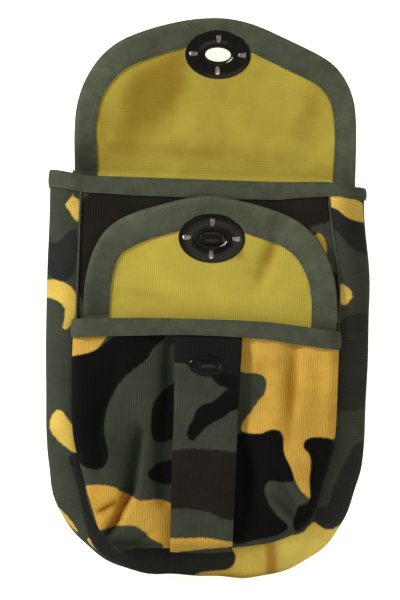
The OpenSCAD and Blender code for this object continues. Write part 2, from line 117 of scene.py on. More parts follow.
# Camouflage patches as they lie on each panel, outlined by a few points in pouch millimetres.
SAND, BLACK, BROWN = 0, 1, 2
GUSSET_PATCHES = (
    (SAND, [(-72, 182.6), (-69.6, 185), (-68, 188), (-66.8, 185.6), (-64.4, 185.4), (-64.2, 178), (-65, 173),
            (-68.2, 178), (-70.8, 181.5)]),
    (BLACK, [(-83, 149), (-66, 142), (-64, 172), (-70, 170), (-75, 163), (-83, 166)]),
    (SAND, [(-84, 138), (-83, 145), (-73, 146), (-66, 141), (-64, 136), (-65, 128), (-66.8, 124),
            (-68.6, 121), (-71.4, 121), (-70.2, 127), (-70, 132), (-73.4, 135.4), (-79, 136.6)]),
    (SAND, [(-78.5, 72), (-76, 79), (-72.5, 82), (-69, 77), (-65, 72), (-63, 66), (-62, 58),
            (-68, 60), (-74, 65)]),
    (BLACK, [(-72, 60), (-57, 60), (-53, 46), (-47, 28), (-40, 14), (-30, 10), (-45, 8), (-54, 20), (-62, 36),
             (-69, 50)]),
    (SAND, [(-73, 33), (-67, 28), (-61, 20), (-65, 22), (-71, 28)]),
    (SAND, [(-56.5, 19), (-51.5, 22), (-47.5, 17), (-50, 14), (-54.5, 16)]),
    (BLACK, [(-48, 14), (-30, 15), (0, 15), (11, 14), (16, 12), (17.5, 8), (15, 4), (6, 3.6), (-2, 2.6),
             (-6, -1), (-25, -1), (-40, 3), (-49, 8)]),
    (SAND, [(12, 16), (30, 19), (37, 22), (48, 20), (56, 30), (59, 26), (63, 25), (67, 29), (71, 33),
            (68, 22), (60, 13), (45, 3), (20, -1), (-3, -1), (-2, 2.5), (8, 3.6), (15, 4), (18, 8),
            (16, 12.5)]),
    (BLACK, [(56, 30), (59, 26), (63, 25), (68, 27), (76, 34), (84, 48), (86, 66), (80, 71), (74, 69),
             (72, 56), (69, 46), (65, 37), (60, 38)]),
    (SAND, [(58, 195), (73, 195), (77, 191), (84, 187), (84, 179), (75, 180), (71, 182), (68, 185),
            (64, 186), (59, 186)]),
    (BLACK, [(59, 186), (64, 186), (68, 185), (71, 182), (75, 180), (81, 178), (81, 162), (72, 166),
             (67, 175), (60, 178)]),
    (BROWN, [(64, 133), (83, 135), (83, 110), (82, 88), (72, 85), (63, 86), (64, 110)]),
    (SAND, [(64, 149), (68.5, 147.5), (71.5, 142.5), (67, 137), (64, 139)]),
)
FRONT_PATCHES = (
    (BROWN, [(-70, 205), (70, 205), (70, 184), (62, 178), (50, 176), (52, 160), (70, 150), (70, 118),
             (-70, 118)]),
    (SAND, [(-21, 186), (-15, 190), (-10, 190), (-14, 186.5)]),
    (SAND, [(54, 171), (57, 174), (60, 171), (60.5, 163), (58, 161), (55, 165)]),
    (BLACK, [(-66, 64), (-46, 64), (-40, 40), (-36, 18), (-60, 18), (-68, 40)]),
)
POCKET_PATCHES = (
    (SAND, [(-72, 128), (-48, 128), (-50, 117.5), (-55, 111.5), (-60, 110), (-72, 107)]),
    (BLACK, [(-74, 107), (-60, 110), (-54, 112), (-48, 118), (-40, 125), (-20, 125), (-21, 118), (-27, 114),
             (-30, 107.5), (-36, 103), (-42, 97), (-46.4, 89), (-49.6, 80), (-50, 70), (-48, 60), (-51, 54),
             (-57, 52), (-66, 54), (-72, 70)]),
    (BLACK, [(-13, 99), (-20, 94), (-25, 89), (-27, 84), (-27, 74), (-26, 67), (-20, 67), (-13, 70)]),
    (BLACK, [(-29, 50), (-24, 57), (-13, 59), (-13, 47), (-22, 46)]),
    (SAND, [(-66, 45), (-47, 45), (-42, 42.5), (-36, 41.5), (-31, 38.5), (-24, 39), (-17, 38), (-10, 34),
            (-10, 12), (-18, 12), (-19, 17), (-22.5, 17.5), (-26, 20.5), (-28, 23.5), (-31, 27), (-36, 29),
            (-43, 28), (-48, 26.3), (-53, 23.5), (-57, 26), (-66, 34)]),
    (SAND, [(10, 130), (72, 130), (72, 90), (68, 71), (58, 72), (54, 72.2), (50, 69.6), (50.4, 66.6),
            (54.4, 64), (56.4, 57), (57, 49), (58.4, 40.6), (54, 43.5), (48, 50), (43.4, 58), (40, 62),
            (39, 66), (39.5, 71), (38, 74.5), (34, 75.5), (30, 73.5), (26, 72.5), (17.5, 73.5), (18, 78),
            (22, 83), (25, 88), (29, 93), (30, 98), (28, 102), (23, 103), (17, 102.5), (10, 106)]),
    (BLACK, [(10, 73.5), (28, 72.5), (31, 75), (35, 75.5), (38.5, 73), (39.5, 64), (44, 57), (48, 49.5),
             (44, 50), (38, 49), (33, 51), (30, 46), (32, 40), (37, 33), (44, 27), (40, 22), (30, 18),
             (10, 14)]),
    (BLACK, [(50, 70), (54, 72.6), (68, 71.5), (67, 55), (63, 40), (57, 29), (50, 20), (45, 26), (46, 32),
             (50, 39), (57.6, 40), (57.4, 50), (56.8, 58), (54.6, 63.6), (50.4, 66.6)]),
)
PLEAT_PATCHES = (
    (BLACK, [(-34, 128), (34, 128), (34, 99), (16, 96), (10, 95), (4, 97), (2, 101), (-6, 105), (-16, 107),
             (-34, 107)]),
    (BLACK, [(-9, 70), (-6, 67.5), (-2, 73), (2, 77), (8, 80), (14, 85), (30, 88), (30, 99), (16, 96),
             (10, 95), (6, 90), (2, 87.5), (-2, 86.5), (-5, 83.5), (-6, 79), (-9, 74)]),
    (BROWN, [(-34, 64.5), (34, 64.5), (34, 30), (16, 30), (10, 29.5), (5, 33), (-2, 34.5), (-10, 35),
             (-34, 34)]),
    (SAND, [(-34, 18.5), (-8, 20), (0, 20.4), (8, 19.6), (14.5, 17.6), (34, 15.5), (8, 15.4), (0, 14.8),
            (-8, 13.6), (-34, 9)]),
)

# Outline of each flap from its left base over the tip to its right base, in pouch millimetres.
MAIN_OUTLINE = (
    (-69.3, 192), (-69.9, 206), (-70.5, 216), (-70.5, 228), (-69.5, 236), (-66.6, 246), (-60, 257.5),
    (-51, 266), (-40, 271.3), (-28, 275.4), (-14, 278.8), (0, 280), (10, 279), (20, 276.4), (30, 272.2),
    (40, 267.8), (50, 263.4), (58, 258.8), (64.6, 251), (68.6, 242), (70.2, 232), (70.6, 222), (70.8, 212),
    (70.8, 192),
)
POCKET_OUTLINE = (
    (-62.2, 125), (-62.2, 134), (-62, 142), (-61, 151), (-58.3, 161), (-53.3, 170.4), (-45.8, 176.6),
    (-37, 180.6), (-27, 183.8), (-14, 187.8), (0, 189.8), (13, 187.6), (25, 184.9), (36, 181.6),
    (44.5, 177.2), (51.5, 171), (56.5, 163.5), (60.2, 155), (62.2, 146), (63.2, 136), (63.6, 125),
)

# Folds of the pocket and of each flap, drawn downward: from, to, half width, depth, any lean to its left.
POCKET_FOLDS = (
    ((43, 122), (42, 70), 4.4, 2.8, 0.2),
    ((57, 118), (56, 80), 4.5, 1.0),
    ((27, 114), (25, 84), 5.0, 1.2),
    ((-32, 71), (-35, 42), 3.8, 4.2, 0.6),
    ((-35, 43), (-40, 31), 2.9, 4.2, 0.5),
    ((-40, 31), (-46, 21), 2.7, 4.2, 0.5),
    ((-21, 78), (-22, 38), 6.0, 2.6, 0.3),
    ((-20, 116), (-19, 86), 5.0, 2.2, 0.3),
    ((-44, 108), (-51, 76), 5.0, 2.0, 0.2),
    ((-52, 84), (-54.5, 52), 3.6, 2.2, 0.3),
    ((-44.5, 37), (-57, 30), 1.7, 2.8, 0.3),
    ((-24, 22), (-31, 19), 1.6, 1.2),
    ((22, 62), (26, 22), 5.0, 3.0),
    ((38, 52), (53, 30), 3.4, 2.4, 0.3),
    ((58, 66), (60, 44), 3.0, 1.4),
)
# Painted shade on the pocket's print besides the folds' own, and below 0 painted light: from, to, half width,
# amount.
POCKET_SHADE = (
    ((-42, 84), (-50, 50), 11.0, 0.35),
    ((-20, 76), (-20, 42), 7.0, 0.55),
    ((36, 42), (51, 27), 2.2, 0.9),
    ((-60, 42), (-58, 30), 4.0, 0.5),
    ((43, 122), (42, 66), 4.5, 0.35),
    ((-51.5, 32.5), (-44, 37.5), 1.3, 1.0),
    ((-36, 47), (-40.5, 31), 2.3, 1.0),
    ((-40.5, 31), (-46.5, 22), 2.1, 1.1),
    ((-48, 22.5), (-27, 17), 3.8, 0.9),
    ((-16, 34), (-16, 12), 2.2, 0.7),
    ((22, 124), (22, 98), 4.0, -0.2),
    ((-62, 119), (-50, 121), 4.0, 0.5),
)
MAIN_FOLDS = (
    ((-32, 262), (-42, 222), 8.0, 1.2),
    ((-60, 212), (60, 210), 6.0, 0.8),
    ((48, 246), (40, 224), 8.0, 0.8),
    ((22, 262), (52, 212), 5.0, 0.5),
)
POCKET_FLAP_FOLDS = (
    ((37, 180), (29, 162), 4.0, 1.5, 0.2),
    ((29, 162), (22, 140), 5.0, 1.7, 0.2),
    ((-48, 143), (-22, 142), 4.0, 0.5),
    ((-30, 166), (-44, 148), 6.0, 0.6),
)

# The main button's base, painted brown to stand in for the reflections seen through the eyelet's hole, and
# bright metal for the painted glints on the eyelets.
REFLECTION_BROWN = (0.085, 0.062, 0.02)
GLINT_METAL = (0.62, 0.6, 0.53)
# What the painted shade in the canvas's folds and shaded places leaves of red, green and blue: on the dark
# print, and warmer on the sand.
DARK_PAINTED_SHADE = (0.36, 0.38, 0.34)
SAND_PAINTED_SHADE = (0.56, 0.44, 0.25)
# What the dark print and the sand are paled to where light is painted on the cloth.
DARK_PAINTED_LIGHT = (0.05, 0.053, 0.046)
SAND_PAINTED_LIGHT = (0.82, 0.66, 0.14)

# Where each lining is darkened by painted shade in its folds and by soil, as the folds are given, with its
# strength for their depth.
MAIN_LINING_SHADE_AND_SOIL = (
    ((-20, 262), (-34, 236), 10.0, 0.75),
    ((-40, 246), (-45, 208), 9.0, 0.6),
    ((-24, 252), (-28, 226), 10.0, 0.4),
    ((-62, 240), (-60, 200), 9.0, 0.6),
    ((-50, 213), (40, 211), 4.0, 0.25),
    ((50, 244), (44, 226), 8.0, 0.4),
    ((-10, 246), (20, 232), 60.0, 0.45),
)
POCKET_LINING_SHADE_AND_SOIL = (
    ((33, 172), (28, 160), 3.5, 0.7),
    ((28, 160), (23, 146), 4.5, 0.75),
    ((-44, 141), (-20, 139), 4.0, 0.3),
    ((-50, 160), (-52, 132), 5.0, 0.55),
    ((48, 150), (50, 135), 8.0, 0.2),
)

# Where each flap's tape is painted lighter for the light it catches or, below 0, darker for shade and soil:
# from, to, half width, amount.
MAIN_TAPE_LIGHT_AND_SOIL = (
    ((-68, 228), (-50, 262), 9.0, 0.45),
    ((66, 206), (66, 248), 14.0, 0.4),
    ((-66, 192), (-66, 208), 9.0, -0.75),
)
POCKET_TAPE_LIGHT_AND_SOIL = (
    ((-50, 170), (-20, 186), 9.0, 0.3),
    ((60, 140), (26, 186), 14.0, 0.35),
    ((-58, 126), (-59, 142), 8.0, -0.45),
)


def colour(name, description, default):
    """A colour of the sidebar."""
    return bpy.props.FloatVectorProperty(
        name=name, description=description, subtype="COLOR", size=3, min=0, max=1, default=default)


def millimetres(name, description, default, low, high):
    """A length of the sidebar."""
    return bpy.props.FloatProperty(
        name=name, description=f"{description} in millimetres", default=default, min=low, max=high)


class PouchColours(bpy.types.PropertyGroup):
    """Colours of the pouch's cloth and fittings."""

    olive: colour("Olive", "Ground colour of the camouflage", (0.043, 0.048, 0.033))
    sand: colour("Sand", "Light patches of the camouflage", (0.555, 0.33, 0.054))
    black: colour("Black", "Darkest patches of the camouflage", (0.0028, 0.0028, 0.0025))
    brown: colour("Brown", "Brown patches of the camouflage", (0.014, 0.0115, 0.009))
    lining: colour("Lining", "Lining of both flaps", (0.47, 0.375, 0.057))
    tape: colour("Tape", "Binding tape, piping and webbing", (0.062, 0.072, 0.045))
    thread: colour("Thread", "Stitching thread", (0.013, 0.014, 0.010))
    enamel: colour("Enamel", "Black enamel of the turn locks", (0.004, 0.004, 0.004))
    worn: colour("Bare metal", "Dull metal of the clinched prongs", (0.17, 0.138, 0.122))
    floor: colour("Floor", "Floor and backdrop", (0.92, 0.92, 0.92))
    glow: colour("Glow", "Warm room light that the floor and backdrop keep in shadow", (1.0, 0.985, 0.84))


class PouchSizes(bpy.types.PropertyGroup):
    """Sizes of the pouch's cloth, in millimetres."""

    canvas: millimetres("Canvas", "Thickness of the canvas", 0.8, 0.4, 1.2)
    lining: millimetres("Lining", "Thickness of the lining", 0.7, 0.3, 1.2)
    tape: millimetres("Tape", "Thickness of the binding tape", 0.7, 0.3, 1.2)
    rib: millimetres("Rib", "Pitch of the canvas ribs", 1.25, 0.6, 3)
    mesh: millimetres("Mesh", "Distance between mesh points", 1.6, 1, 4)
    stitch: millimetres("Stitch", "Length of a stitch", 2.4, 1.5, 5)


def sizes():
    return bpy.context.scene.pouch_sizes


def colours():
    return bpy.context.scene.pouch_colours


def smooth(value, low, high):
    """0 below low, 1 above high, and an even slope between; low may be the larger."""
    t = np.clip((value - low) / (high - low), 0, 1)
    return t * t * (3 - 2 * t)


def bell(value, middle, width):
    """1 at the middle, falling off to either side."""
    return np.exp(-(((value - middle) / width) ** 2))


def stacked(*coordinates):
    """Coordinates spread to one shape and joined as points."""
    return np.stack(np.broadcast_arrays(*coordinates), -1)


def unit(vectors):
    """The vectors at length 1."""
    return vectors / np.linalg.norm(vectors, axis=-1, keepdims=True)


def lengths(points):
    """How far along the line each of its points lies."""
    steps = np.linalg.norm(np.diff(points, axis=0), axis=1)
    return np.concatenate([[0], np.cumsum(steps)])


def ripple(x, y, wavelength, seed):
    """Smooth seeded unevenness from about -1 to 1."""
    rng = np.random.default_rng(seed)
    total = 0.0
    for _ in range(5):
        turn, pace, start = rng.uniform(0, 2 * math.pi), rng.uniform(0.7, 1.4), rng.uniform(0, 2 * math.pi)
        along = x * math.cos(turn) + y * math.sin(turn)
        total = total + np.sin(2 * math.pi * pace * along / wavelength + start)
    return total / 3


def folds_at(x, y, folds):
    """How far the folds sink the cloth at each point."""
    sunk = np.zeros_like(x)
    for (x0, y0), (x1, y1), width, depth, *rest in folds:
        lean = rest[0] if rest else 0
        dx, dy = x1 - x0, y1 - y0
        near = np.clip(((x - x0) * dx + (y - y0) * dy) / (dx * dx + dy * dy), 0, 1)
        px, py = x - x0 - near * dx, y - y0 - near * dy
        side = np.tanh((dx * py - dy * px) / (0.5 * width * math.hypot(dx, dy)))
        fade = 0.35 + 0.65 * np.sin(math.pi * np.clip(0.12 + 0.76 * near, 0, 1))
        sunk += depth * fade * bell(np.hypot(px, py), 0, width * (1 - lean * side))
    return sunk


def rounded(points, closed=False, rounds=3):
    """The outline with its corners cut smooth."""
    p = np.asarray(points, float)
    for _ in range(rounds):
        after = np.roll(p, -1, 0) if closed else p[1:]
        before = p if closed else p[:-1]
        cut = np.stack([0.75 * before + 0.25 * after, 0.25 * before + 0.75 * after], 1)
        cut = cut.reshape(-1, p.shape[1])
        p = cut if closed else np.concatenate([p[:1], cut, p[-1:]])
    return p


def resampled(points, step):
    """The line with points an even step apart."""
    p = np.asarray(points, float)
    reach = lengths(p)
    at = np.linspace(0, reach[-1], max(2, int(round(reach[-1] / step)) + 1))
    return np.stack([np.interp(at, reach, p[:, k]) for k in range(p.shape[1])], -1)


def inside_by(x, y, outline):
    """Distance inside a closed outline, negative outside it."""
    a = rounded(outline, closed=True, rounds=2)
    b = np.roll(a, -1, 0)
    best = np.full(x.shape, 1e9)
    odd = np.zeros(x.shape, bool)
    for (ax, ay), (bx, by) in zip(a, b):
        dx, dy = bx - ax, by - ay
        t = np.clip(((x - ax) * dx + (y - ay) * dy) / (dx * dx + dy * dy + 1e-9), 0, 1)
        best = np.minimum(best, np.hypot(x - ax - t * dx, y - ay - t * dy))
        crosses = ((ay > y) != (by > y)) & (x < ax + (y - ay) / (by - ay + 1e-12) * dx)
        odd ^= crosses
    return np.where(odd, best, -best)


# The farthest from a patch's edge that the print's fields still tell.
FIELD_REACH = 20.0


def patch_fields(x, y, patches):
    """For each point, how far inside the sand, black and brown patches it lies."""
    fields = np.full(x.shape + (3,), -FIELD_REACH)
    for kind, outline in patches:
        fields[..., kind] = np.maximum(fields[..., kind], inside_by(x, y, outline))
    return fields


# The made-up print's sand, black and brown: stretch each way, spacing, and how much of the ground it leaves.
PRINT = ((0.8, 1.2, 105, 0.53), (1.0, 1.0, 98, 0.32), (1.0, 0.8, 110, 0.43))
PRINT_WANDER, PRINT_WANDER_LENGTH = 13, 58
PRINT_STEP = 0.5


def printed_fields(u, v, seed):
    """A made-up run of the same camouflage for cloth that the photograph doesn't show."""

    def field(at_u, at_v, kind):
        wu = at_u + PRINT_WANDER * ripple(at_u, at_v, PRINT_WANDER_LENGTH, seed + 7)
        wv = at_v + PRINT_WANDER * ripple(at_u, at_v, PRINT_WANDER_LENGTH, seed + 8)
        wide, tall, spacing, left = PRINT[kind]
        return ripple(wu * wide, wv * tall, spacing, seed + kind) - left

    fields = []
    for kind in (SAND, BLACK, BROWN):
        here = field(u, v, kind)
        step_u, step_v = field(u + PRINT_STEP, v, kind) - here, field(u, v + PRINT_STEP, kind) - here
        slope = np.hypot(step_u, step_v) / PRINT_STEP
        fields.append(np.clip(here / np.maximum(slope, 0.02), -FIELD_REACH, FIELD_REACH))
    return stacked(*fields)


def normals(mid, wrap):
    """Unit normals of a grid of points."""
    if wrap:
        around = np.concatenate([mid[:, -1:], mid, mid[:, :1]], 1)
        across = np.gradient(around, axis=1)[:, 1:-1]
    else:
        across = np.gradient(mid, axis=1)
    n = np.cross(np.gradient(mid, axis=0), across)
    size = np.linalg.norm(n, axis=-1, keepdims=True)
    flat = n.reshape(-1, 3).sum(0)
    return np.where(size > 1e-6, n / np.maximum(size, 1e-6), flat / np.linalg.norm(flat))


def grid_faces(grid, wrap=False):
    """Four-sided faces on a grid of point numbers."""
    if wrap:
        grid = np.concatenate([grid, grid[:, :1]], 1)
    return stacked(grid[:-1, :-1], grid[1:, :-1], grid[1:, 1:], grid[:-1, 1:]).reshape(-1, 4)


def three_wide(values):
    """A flat list of coordinates with a third value, zero unless given."""
    flat = np.asarray(values, float)
    flat = flat.reshape(-1, flat.shape[-1])
    return np.pad(flat, ((0, 0), (0, 3 - flat.shape[1])))


def shell(mid, thick, wrap=False, cloth=None, print_and_shade=None, slot=0):
    """A closed cloth of that thickness about a grid of points."""
    rows, cols = mid.shape[:2]
    n = normals(mid, wrap) * thick / 2
    grid = np.arange(rows * cols).reshape(rows, cols)
    face = grid_faces(grid, wrap)
    rims = [grid[0], grid[-1]] if wrap else [
        np.concatenate([grid[0, :-1], grid[:-1, -1], grid[-1, :0:-1], grid[:0:-1, 0]])]
    faces = [face, face[:, ::-1] + grid.size]
    for rim in rims:
        after = np.roll(rim, -1)
        faces.append(stacked(rim, after, after + grid.size, rim + grid.size))
    part = {
        "verts": np.concatenate([(mid + n).reshape(-1, 3), (mid - n).reshape(-1, 3)]),
        "faces": np.concatenate(faces).tolist(),
        "slot": slot,
    }
    for name, values in (("cloth", cloth), ("print_and_shade", print_and_shade)):
        if values is not None:
            flat = three_wide(values)
            part[name] = np.concatenate([flat, flat])
    return part


def tube(sections, cloth=None, slot=0, capped=True):
    """A closed skin over rings of points, one ring at each place along a path."""
    sections = np.asarray(sections, float)
    count, ring = sections.shape[:2]
    grid = np.arange(count * ring).reshape(count, ring)
    faces = grid_faces(grid, wrap=True).tolist()
    if capped:
        faces += [grid[0][::-1].tolist(), grid[-1].tolist()]
    part = {"verts": sections.reshape(-1, 3), "faces": faces, "slot": slot}
    if cloth is not None:
        part["cloth"] = three_wide(cloth)
    return part


THREAD_WIDE, THREAD_SUNK = 0.36, 0.12
STITCH_GAP, STITCH_STEP = 1.0, 0.4


def stitches(line, facing):
    """Thread stitches along a line of points on cloth that faces that way, in the piece's second material."""
    line = np.asarray(line, float)
    facing = np.broadcast_to(np.asarray(facing, float), line.shape)
    length, wide, sunk = sizes().stitch, THREAD_WIDE, THREAD_SUNK
    both = resampled(np.concatenate([line, facing], 1), STITCH_STEP)
    stride = max(2, int(round((length + STITCH_GAP) / STITCH_STEP)))
    half = max(1, int(round(length / (2 * STITCH_STEP))))
    verts, faces = [], []
    for i in range(half, len(both) - half, stride):
        a, c, b = both[i - half, :3], both[i, :3], both[i + half, :3]
        up = both[i, 3:] / np.linalg.norm(both[i, 3:])
        along = (b - a) / (np.linalg.norm(b - a) + 1e-9)
        side = np.cross(along, up) * wide / 2
        k = len(verts)
        verts += [a - up * sunk, b - up * sunk, c + side, c - side, c + up * wide * 0.55,
                  a * 0.72 + b * 0.28 + up * wide * 0.4, a * 0.28 + b * 0.72 + up * wide * 0.4]
        faces += [[k, k + 2, k + 5], [k, k + 5, k + 3], [k + 2, k + 4, k + 5], [k + 3, k + 5, k + 4],
                  [k + 1, k + 6, k + 2], [k + 1, k + 3, k + 6], [k + 2, k + 6, k + 4], [k + 3, k + 4, k + 6],
                  [k, k + 3, k + 1, k + 2]]
    return {"verts": np.array(verts).reshape(-1, 3), "faces": faces, "slot": 1}


SHARP_ANGLE = math.radians(48)
SEWN_TAPE = ("olive_tape", "sewing_thread")


def piece(name, parts, finishes):
    """One object from its parts, with the cloth and print coordinates that its finishes read, which also
    carry painted shade and light.
    """
    verts, faces, slots = [], [], []
    attributes = {"cloth": [], "print_and_shade": []}
    start = 0
    for part in parts:
        count = len(part["verts"])
        verts.append(part["verts"])
        faces += [[i + start for i in face] for face in part["faces"]]
        slots += [part["slot"]] * len(part["faces"])
        for key in attributes:
            attributes[key].append(part.get(key, np.zeros((count, 3))))
        start += count
    mesh = bpy.data.meshes.new(name)
    mesh.from_pydata(to_frame(np.concatenate(verts)).tolist(), [], faces)
    for finish in finishes:
        mesh.materials.append(material(finish))
    mesh.polygons.foreach_set("material_index", slots)
    for key, blocks in attributes.items():
        values = np.concatenate(blocks)
        layer = mesh.attributes.new(key, "FLOAT_VECTOR", "POINT")
        layer.data.foreach_set("vector", values.astype(np.float32).ravel())
    mesh.polygons.foreach_set("use_smooth", [True] * len(mesh.polygons))
    work = bmesh.new()
    work.from_mesh(mesh)
    bmesh.ops.recalc_face_normals(work, faces=work.faces)
    work.to_mesh(mesh)
    work.free()
    mesh.set_sharp_from_angle(angle=SHARP_ANGLE)
    made = bpy.data.objects.new(name, mesh)
    bpy.context.scene.collection.objects.link(made)
    return made


def as_sheet(width, length):
    """Turns a piece of cloth's cut size from millimetres to metres, and keeps nothing."""
    width, length = width * MM, length * MM


def dress(node, ending, parts, finishes, body="pouch"):
    """A piece that moves with the body and takes the CAD node's place."""
    made = piece(f"{node}_{ending}", parts, finishes)
    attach(made, body)
    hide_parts(node)
    return made


class Nodes:
    """A material's node tree, with short calls for the nodes that the cloth uses."""

    def __init__(self, name):
        old = bpy.data.materials.get(name)
        if old:
            bpy.data.materials.remove(old)
        self.material = bpy.data.materials.new(name)
        self.material.use_nodes = True
        self.tree = self.material.node_tree
        self.shader = self.tree.nodes["Principled BSDF"]

    def link(self, value, socket):
        if isinstance(value, bpy.types.NodeSocket):
            self.tree.links.new(value, socket)
        elif value is not None:
            socket.default_value = value

    def set(self, name, value):
        """Gives the shader's input a value or the output of a node."""
        self.link(value, self.shader.inputs[name])

    def math(self, operation, a, b=None, c=None):
        node = self.tree.nodes.new("ShaderNodeMath")
        node.operation = operation
        for value, socket in zip((a, b, c), node.inputs):
            self.link(value, socket)
        return node.outputs[0]

    def attribute(self, name):
        node = self.tree.nodes.new("ShaderNodeAttribute")
        node.attribute_name = name
        parts = self.tree.nodes.new("ShaderNodeSeparateXYZ")
        self.tree.links.new(node.outputs["Vector"], parts.inputs[0])
        return node.outputs["Vector"], parts.outputs

    def place(self):
        """Where a point lies on its object."""
        return self.tree.nodes.new("ShaderNodeTexCoord").outputs["Object"]

    def noise(self, vector, scale, detail=3.0, rough=0.55):
        node = self.tree.nodes.new("ShaderNodeTexNoise")
        for name, value in (("Vector", vector), ("Scale", scale), ("Detail", detail), ("Roughness", rough)):
            self.link(value, node.inputs[name])
        return node.outputs["Fac"]

    def between(self, value, low, high, out_low=0.0, out_high=1.0):
        node = self.tree.nodes.new("ShaderNodeMapRange")
        node.interpolation_type = "SMOOTHSTEP"
        for amount, socket in zip((value, low, high, out_low, out_high), node.inputs):
            self.link(amount, socket)
        return node.outputs[0]

    def mix(self, factor, a, b, blend="MIX"):
        node = self.tree.nodes.new("ShaderNodeMix")
        node.data_type = "RGBA"
        node.blend_type = blend
        self.link(factor, node.inputs["Factor"])
        for value, name in ((a, "A"), (b, "B")):
            socket = [s for s in node.inputs if s.name == name and s.type == "RGBA"][0]
            self.link(value if isinstance(value, bpy.types.NodeSocket) else (*value, 1.0), socket)
        return [s for s in node.outputs if s.type == "RGBA"][0]

    def tint(self, colour, amount):
        """The colour made lighter or darker by a grey amount about 1."""
        node = self.tree.nodes.new("ShaderNodeVectorMath")
        node.operation = "SCALE"
        self.link(colour, node.inputs[0])
        self.link(amount, node.inputs["Scale"])
        return node.outputs[0]

    def ribs(self, along, pitch):
        """Even ribs from 0 to 1 across the cloth."""
        turn = self.math("MULTIPLY", along, 2 * math.pi / pitch)
        return self.math("MULTIPLY_ADD", self.math("SINE", turn), 0.5, 0.5)

    def bump(self, height, strength, distance):
        node = self.tree.nodes.new("ShaderNodeBump")
        for name, value in (("Strength", strength), ("Distance", distance), ("Height", height)):
            self.link(value, node.inputs[name])
        self.set("Normal", node.outputs["Normal"])


def woven(nodes, pitch, cross_pitch, cross_share):
    """Height of a ribbed weave: strong ribs along one way, finer picks across them."""
    vector, parts = nodes.attribute("cloth")
    wander = nodes.math("MULTIPLY_ADD", nodes.noise(vector, 0.25, 2.0), 0.9, -0.45)
    ribs = nodes.ribs(nodes.math("ADD", parts[0], wander), pitch)
    picks = nodes.ribs(nodes.math("ADD", parts[1], wander), cross_pitch)
    crossing = nodes.math("MULTIPLY", picks, cross_share)
    weave = nodes.math("MULTIPLY_ADD", ribs, 1 - cross_share, crossing)
    fuzz = nodes.noise(vector, 1.6, 2.0)
    return vector, weave, nodes.math("MULTIPLY_ADD", fuzz, 0.35, weave)


def cloth_finish(nodes, colour, weave, height, depth, contrast):
    """Weave and slub on a matte cloth."""
    shade = nodes.math("MULTIPLY_ADD", weave, contrast, 1 - contrast / 2)
    nodes.set("Base Color", nodes.tint(colour, shade))
    nodes.set("Roughness", 0.88)
    nodes.set("Specular IOR Level", 0.06)
    nodes.bump(height, 0.55, depth)


def canvas_material():
    """Ribbed cotton canvas printed with woodland camouflage, darkened by painted shade and paled by painted
    light.
    """
    c = colours()
    nodes = Nodes("printed_canvas")
    vector, weave, height = woven(nodes, sizes().rib, 0.8, 0.28)
    _, fields = nodes.attribute("print_and_shade")
    edge = nodes.math("MULTIPLY_ADD", nodes.noise(vector, 0.45, 3.0), 1.6, -0.8)

    def mask(field):
        return nodes.between(nodes.math("ADD", field, edge), -0.6, 0.6)

    # The cloth's third value: above 0 painted shade darkens the print, below 0 painted light pales it.
    _, parts = nodes.attribute("cloth")
    painted_light_and_soil = nodes.between(parts[2], 0.0, -0.45)
    pale = nodes.mix(painted_light_and_soil, c.sand, SAND_PAINTED_LIGHT)
    colour = nodes.mix(mask(fields[SAND]), c.olive, pale)
    colour = nodes.mix(mask(fields[BROWN]), colour, nodes.mix(painted_light_and_soil, c.brown, DARK_PAINTED_LIGHT))
    colour = nodes.mix(mask(fields[BLACK]), colour, nodes.mix(painted_light_and_soil, c.black, DARK_PAINTED_LIGHT))
    patchy = nodes.between(nodes.noise(vector, 0.045, 4.0), 0.3, 0.7, 0.86, 1.14)
    # Painted shade, warmer on the sand.
    painted_shade = nodes.mix(mask(fields[SAND]), DARK_PAINTED_SHADE, SAND_PAINTED_SHADE)
    shade_painted_colour = nodes.mix(parts[2], nodes.tint(colour, patchy), painted_shade, "MULTIPLY")
    cloth_finish(nodes, shade_painted_colour, weave, height, 0.00035, 0.17)
    return nodes.material


def lining_material():
    """Plain khaki cotton with fine ribs across it, darkened by painted shade in its folds and by uneven soil.
    """
    c = colours()
    nodes = Nodes("khaki_lining")
    vector, weave, height = woven(nodes, 0.85, 0.95, 0.68)
    _, fields = nodes.attribute("print_and_shade")
    uneven = nodes.math("MULTIPLY_ADD", nodes.noise(vector, 0.05, 4.0, 0.6), 0.7, -0.3)
    # Painted shade in the folds and soil, made uneven.
    shade_and_soil = nodes.between(nodes.math("ADD", fields[0], uneven), 0.0, 1.2)
    dull = nodes.mix(shade_and_soil, c.lining, [v * f for v, f in zip(c.lining, (0.55, 0.45, 0.33))])
    pale = nodes.between(nodes.noise(vector, 0.06, 2.0), 0.45, 0.75, 0.96, 1.08)
    cloth_finish(nodes, nodes.tint(dull, pale), weave, height, 0.0003, 0.32)
    return nodes.material


def tape_material():
    """Olive woven tape with a fine rib along its length, painted lighter where it catches the light and
    darker with shade and soil in places.
    """
    c = colours()
    nodes = Nodes("olive_tape")
    vector, weave, height = woven(nodes, 0.85, 1.1, 0.45)
    grey = nodes.between(nodes.noise(vector, 0.16, 3.0, 0.6), 0.4, 0.65)
    colour = nodes.mix(grey, c.tape, [v * f for v, f in zip(c.tape, (1.04, 0.92, 1.06))])
    patchy = nodes.between(nodes.noise(vector, 0.09, 5.0, 0.7), 0.3, 0.7, 0.8, 1.2)
    _, parts = nodes.attribute("cloth")
    # Painted light and, below 0, painted shade and soil.
    painted_light_and_soil = nodes.between(parts[2], -1.0, 1.0, 0.45, 1.55)
    cloth_finish(nodes, nodes.tint(nodes.tint(colour, patchy), painted_light_and_soil), weave, height, 0.00025, 0.26)
    return nodes.material


def thread_material():
    """Twisted sewing thread."""
    nodes = Nodes("sewing_thread")
    twist = nodes.noise(nodes.place(), 1800.0, 2.0)
    nodes.set("Base Color", nodes.tint((*colours().thread, ), nodes.between(twist, 0.3, 0.7, 0.7, 1.3)))
    nodes.set("Roughness", 0.7)
    nodes.bump(twist, 0.4, 0.0001)
    return nodes.material


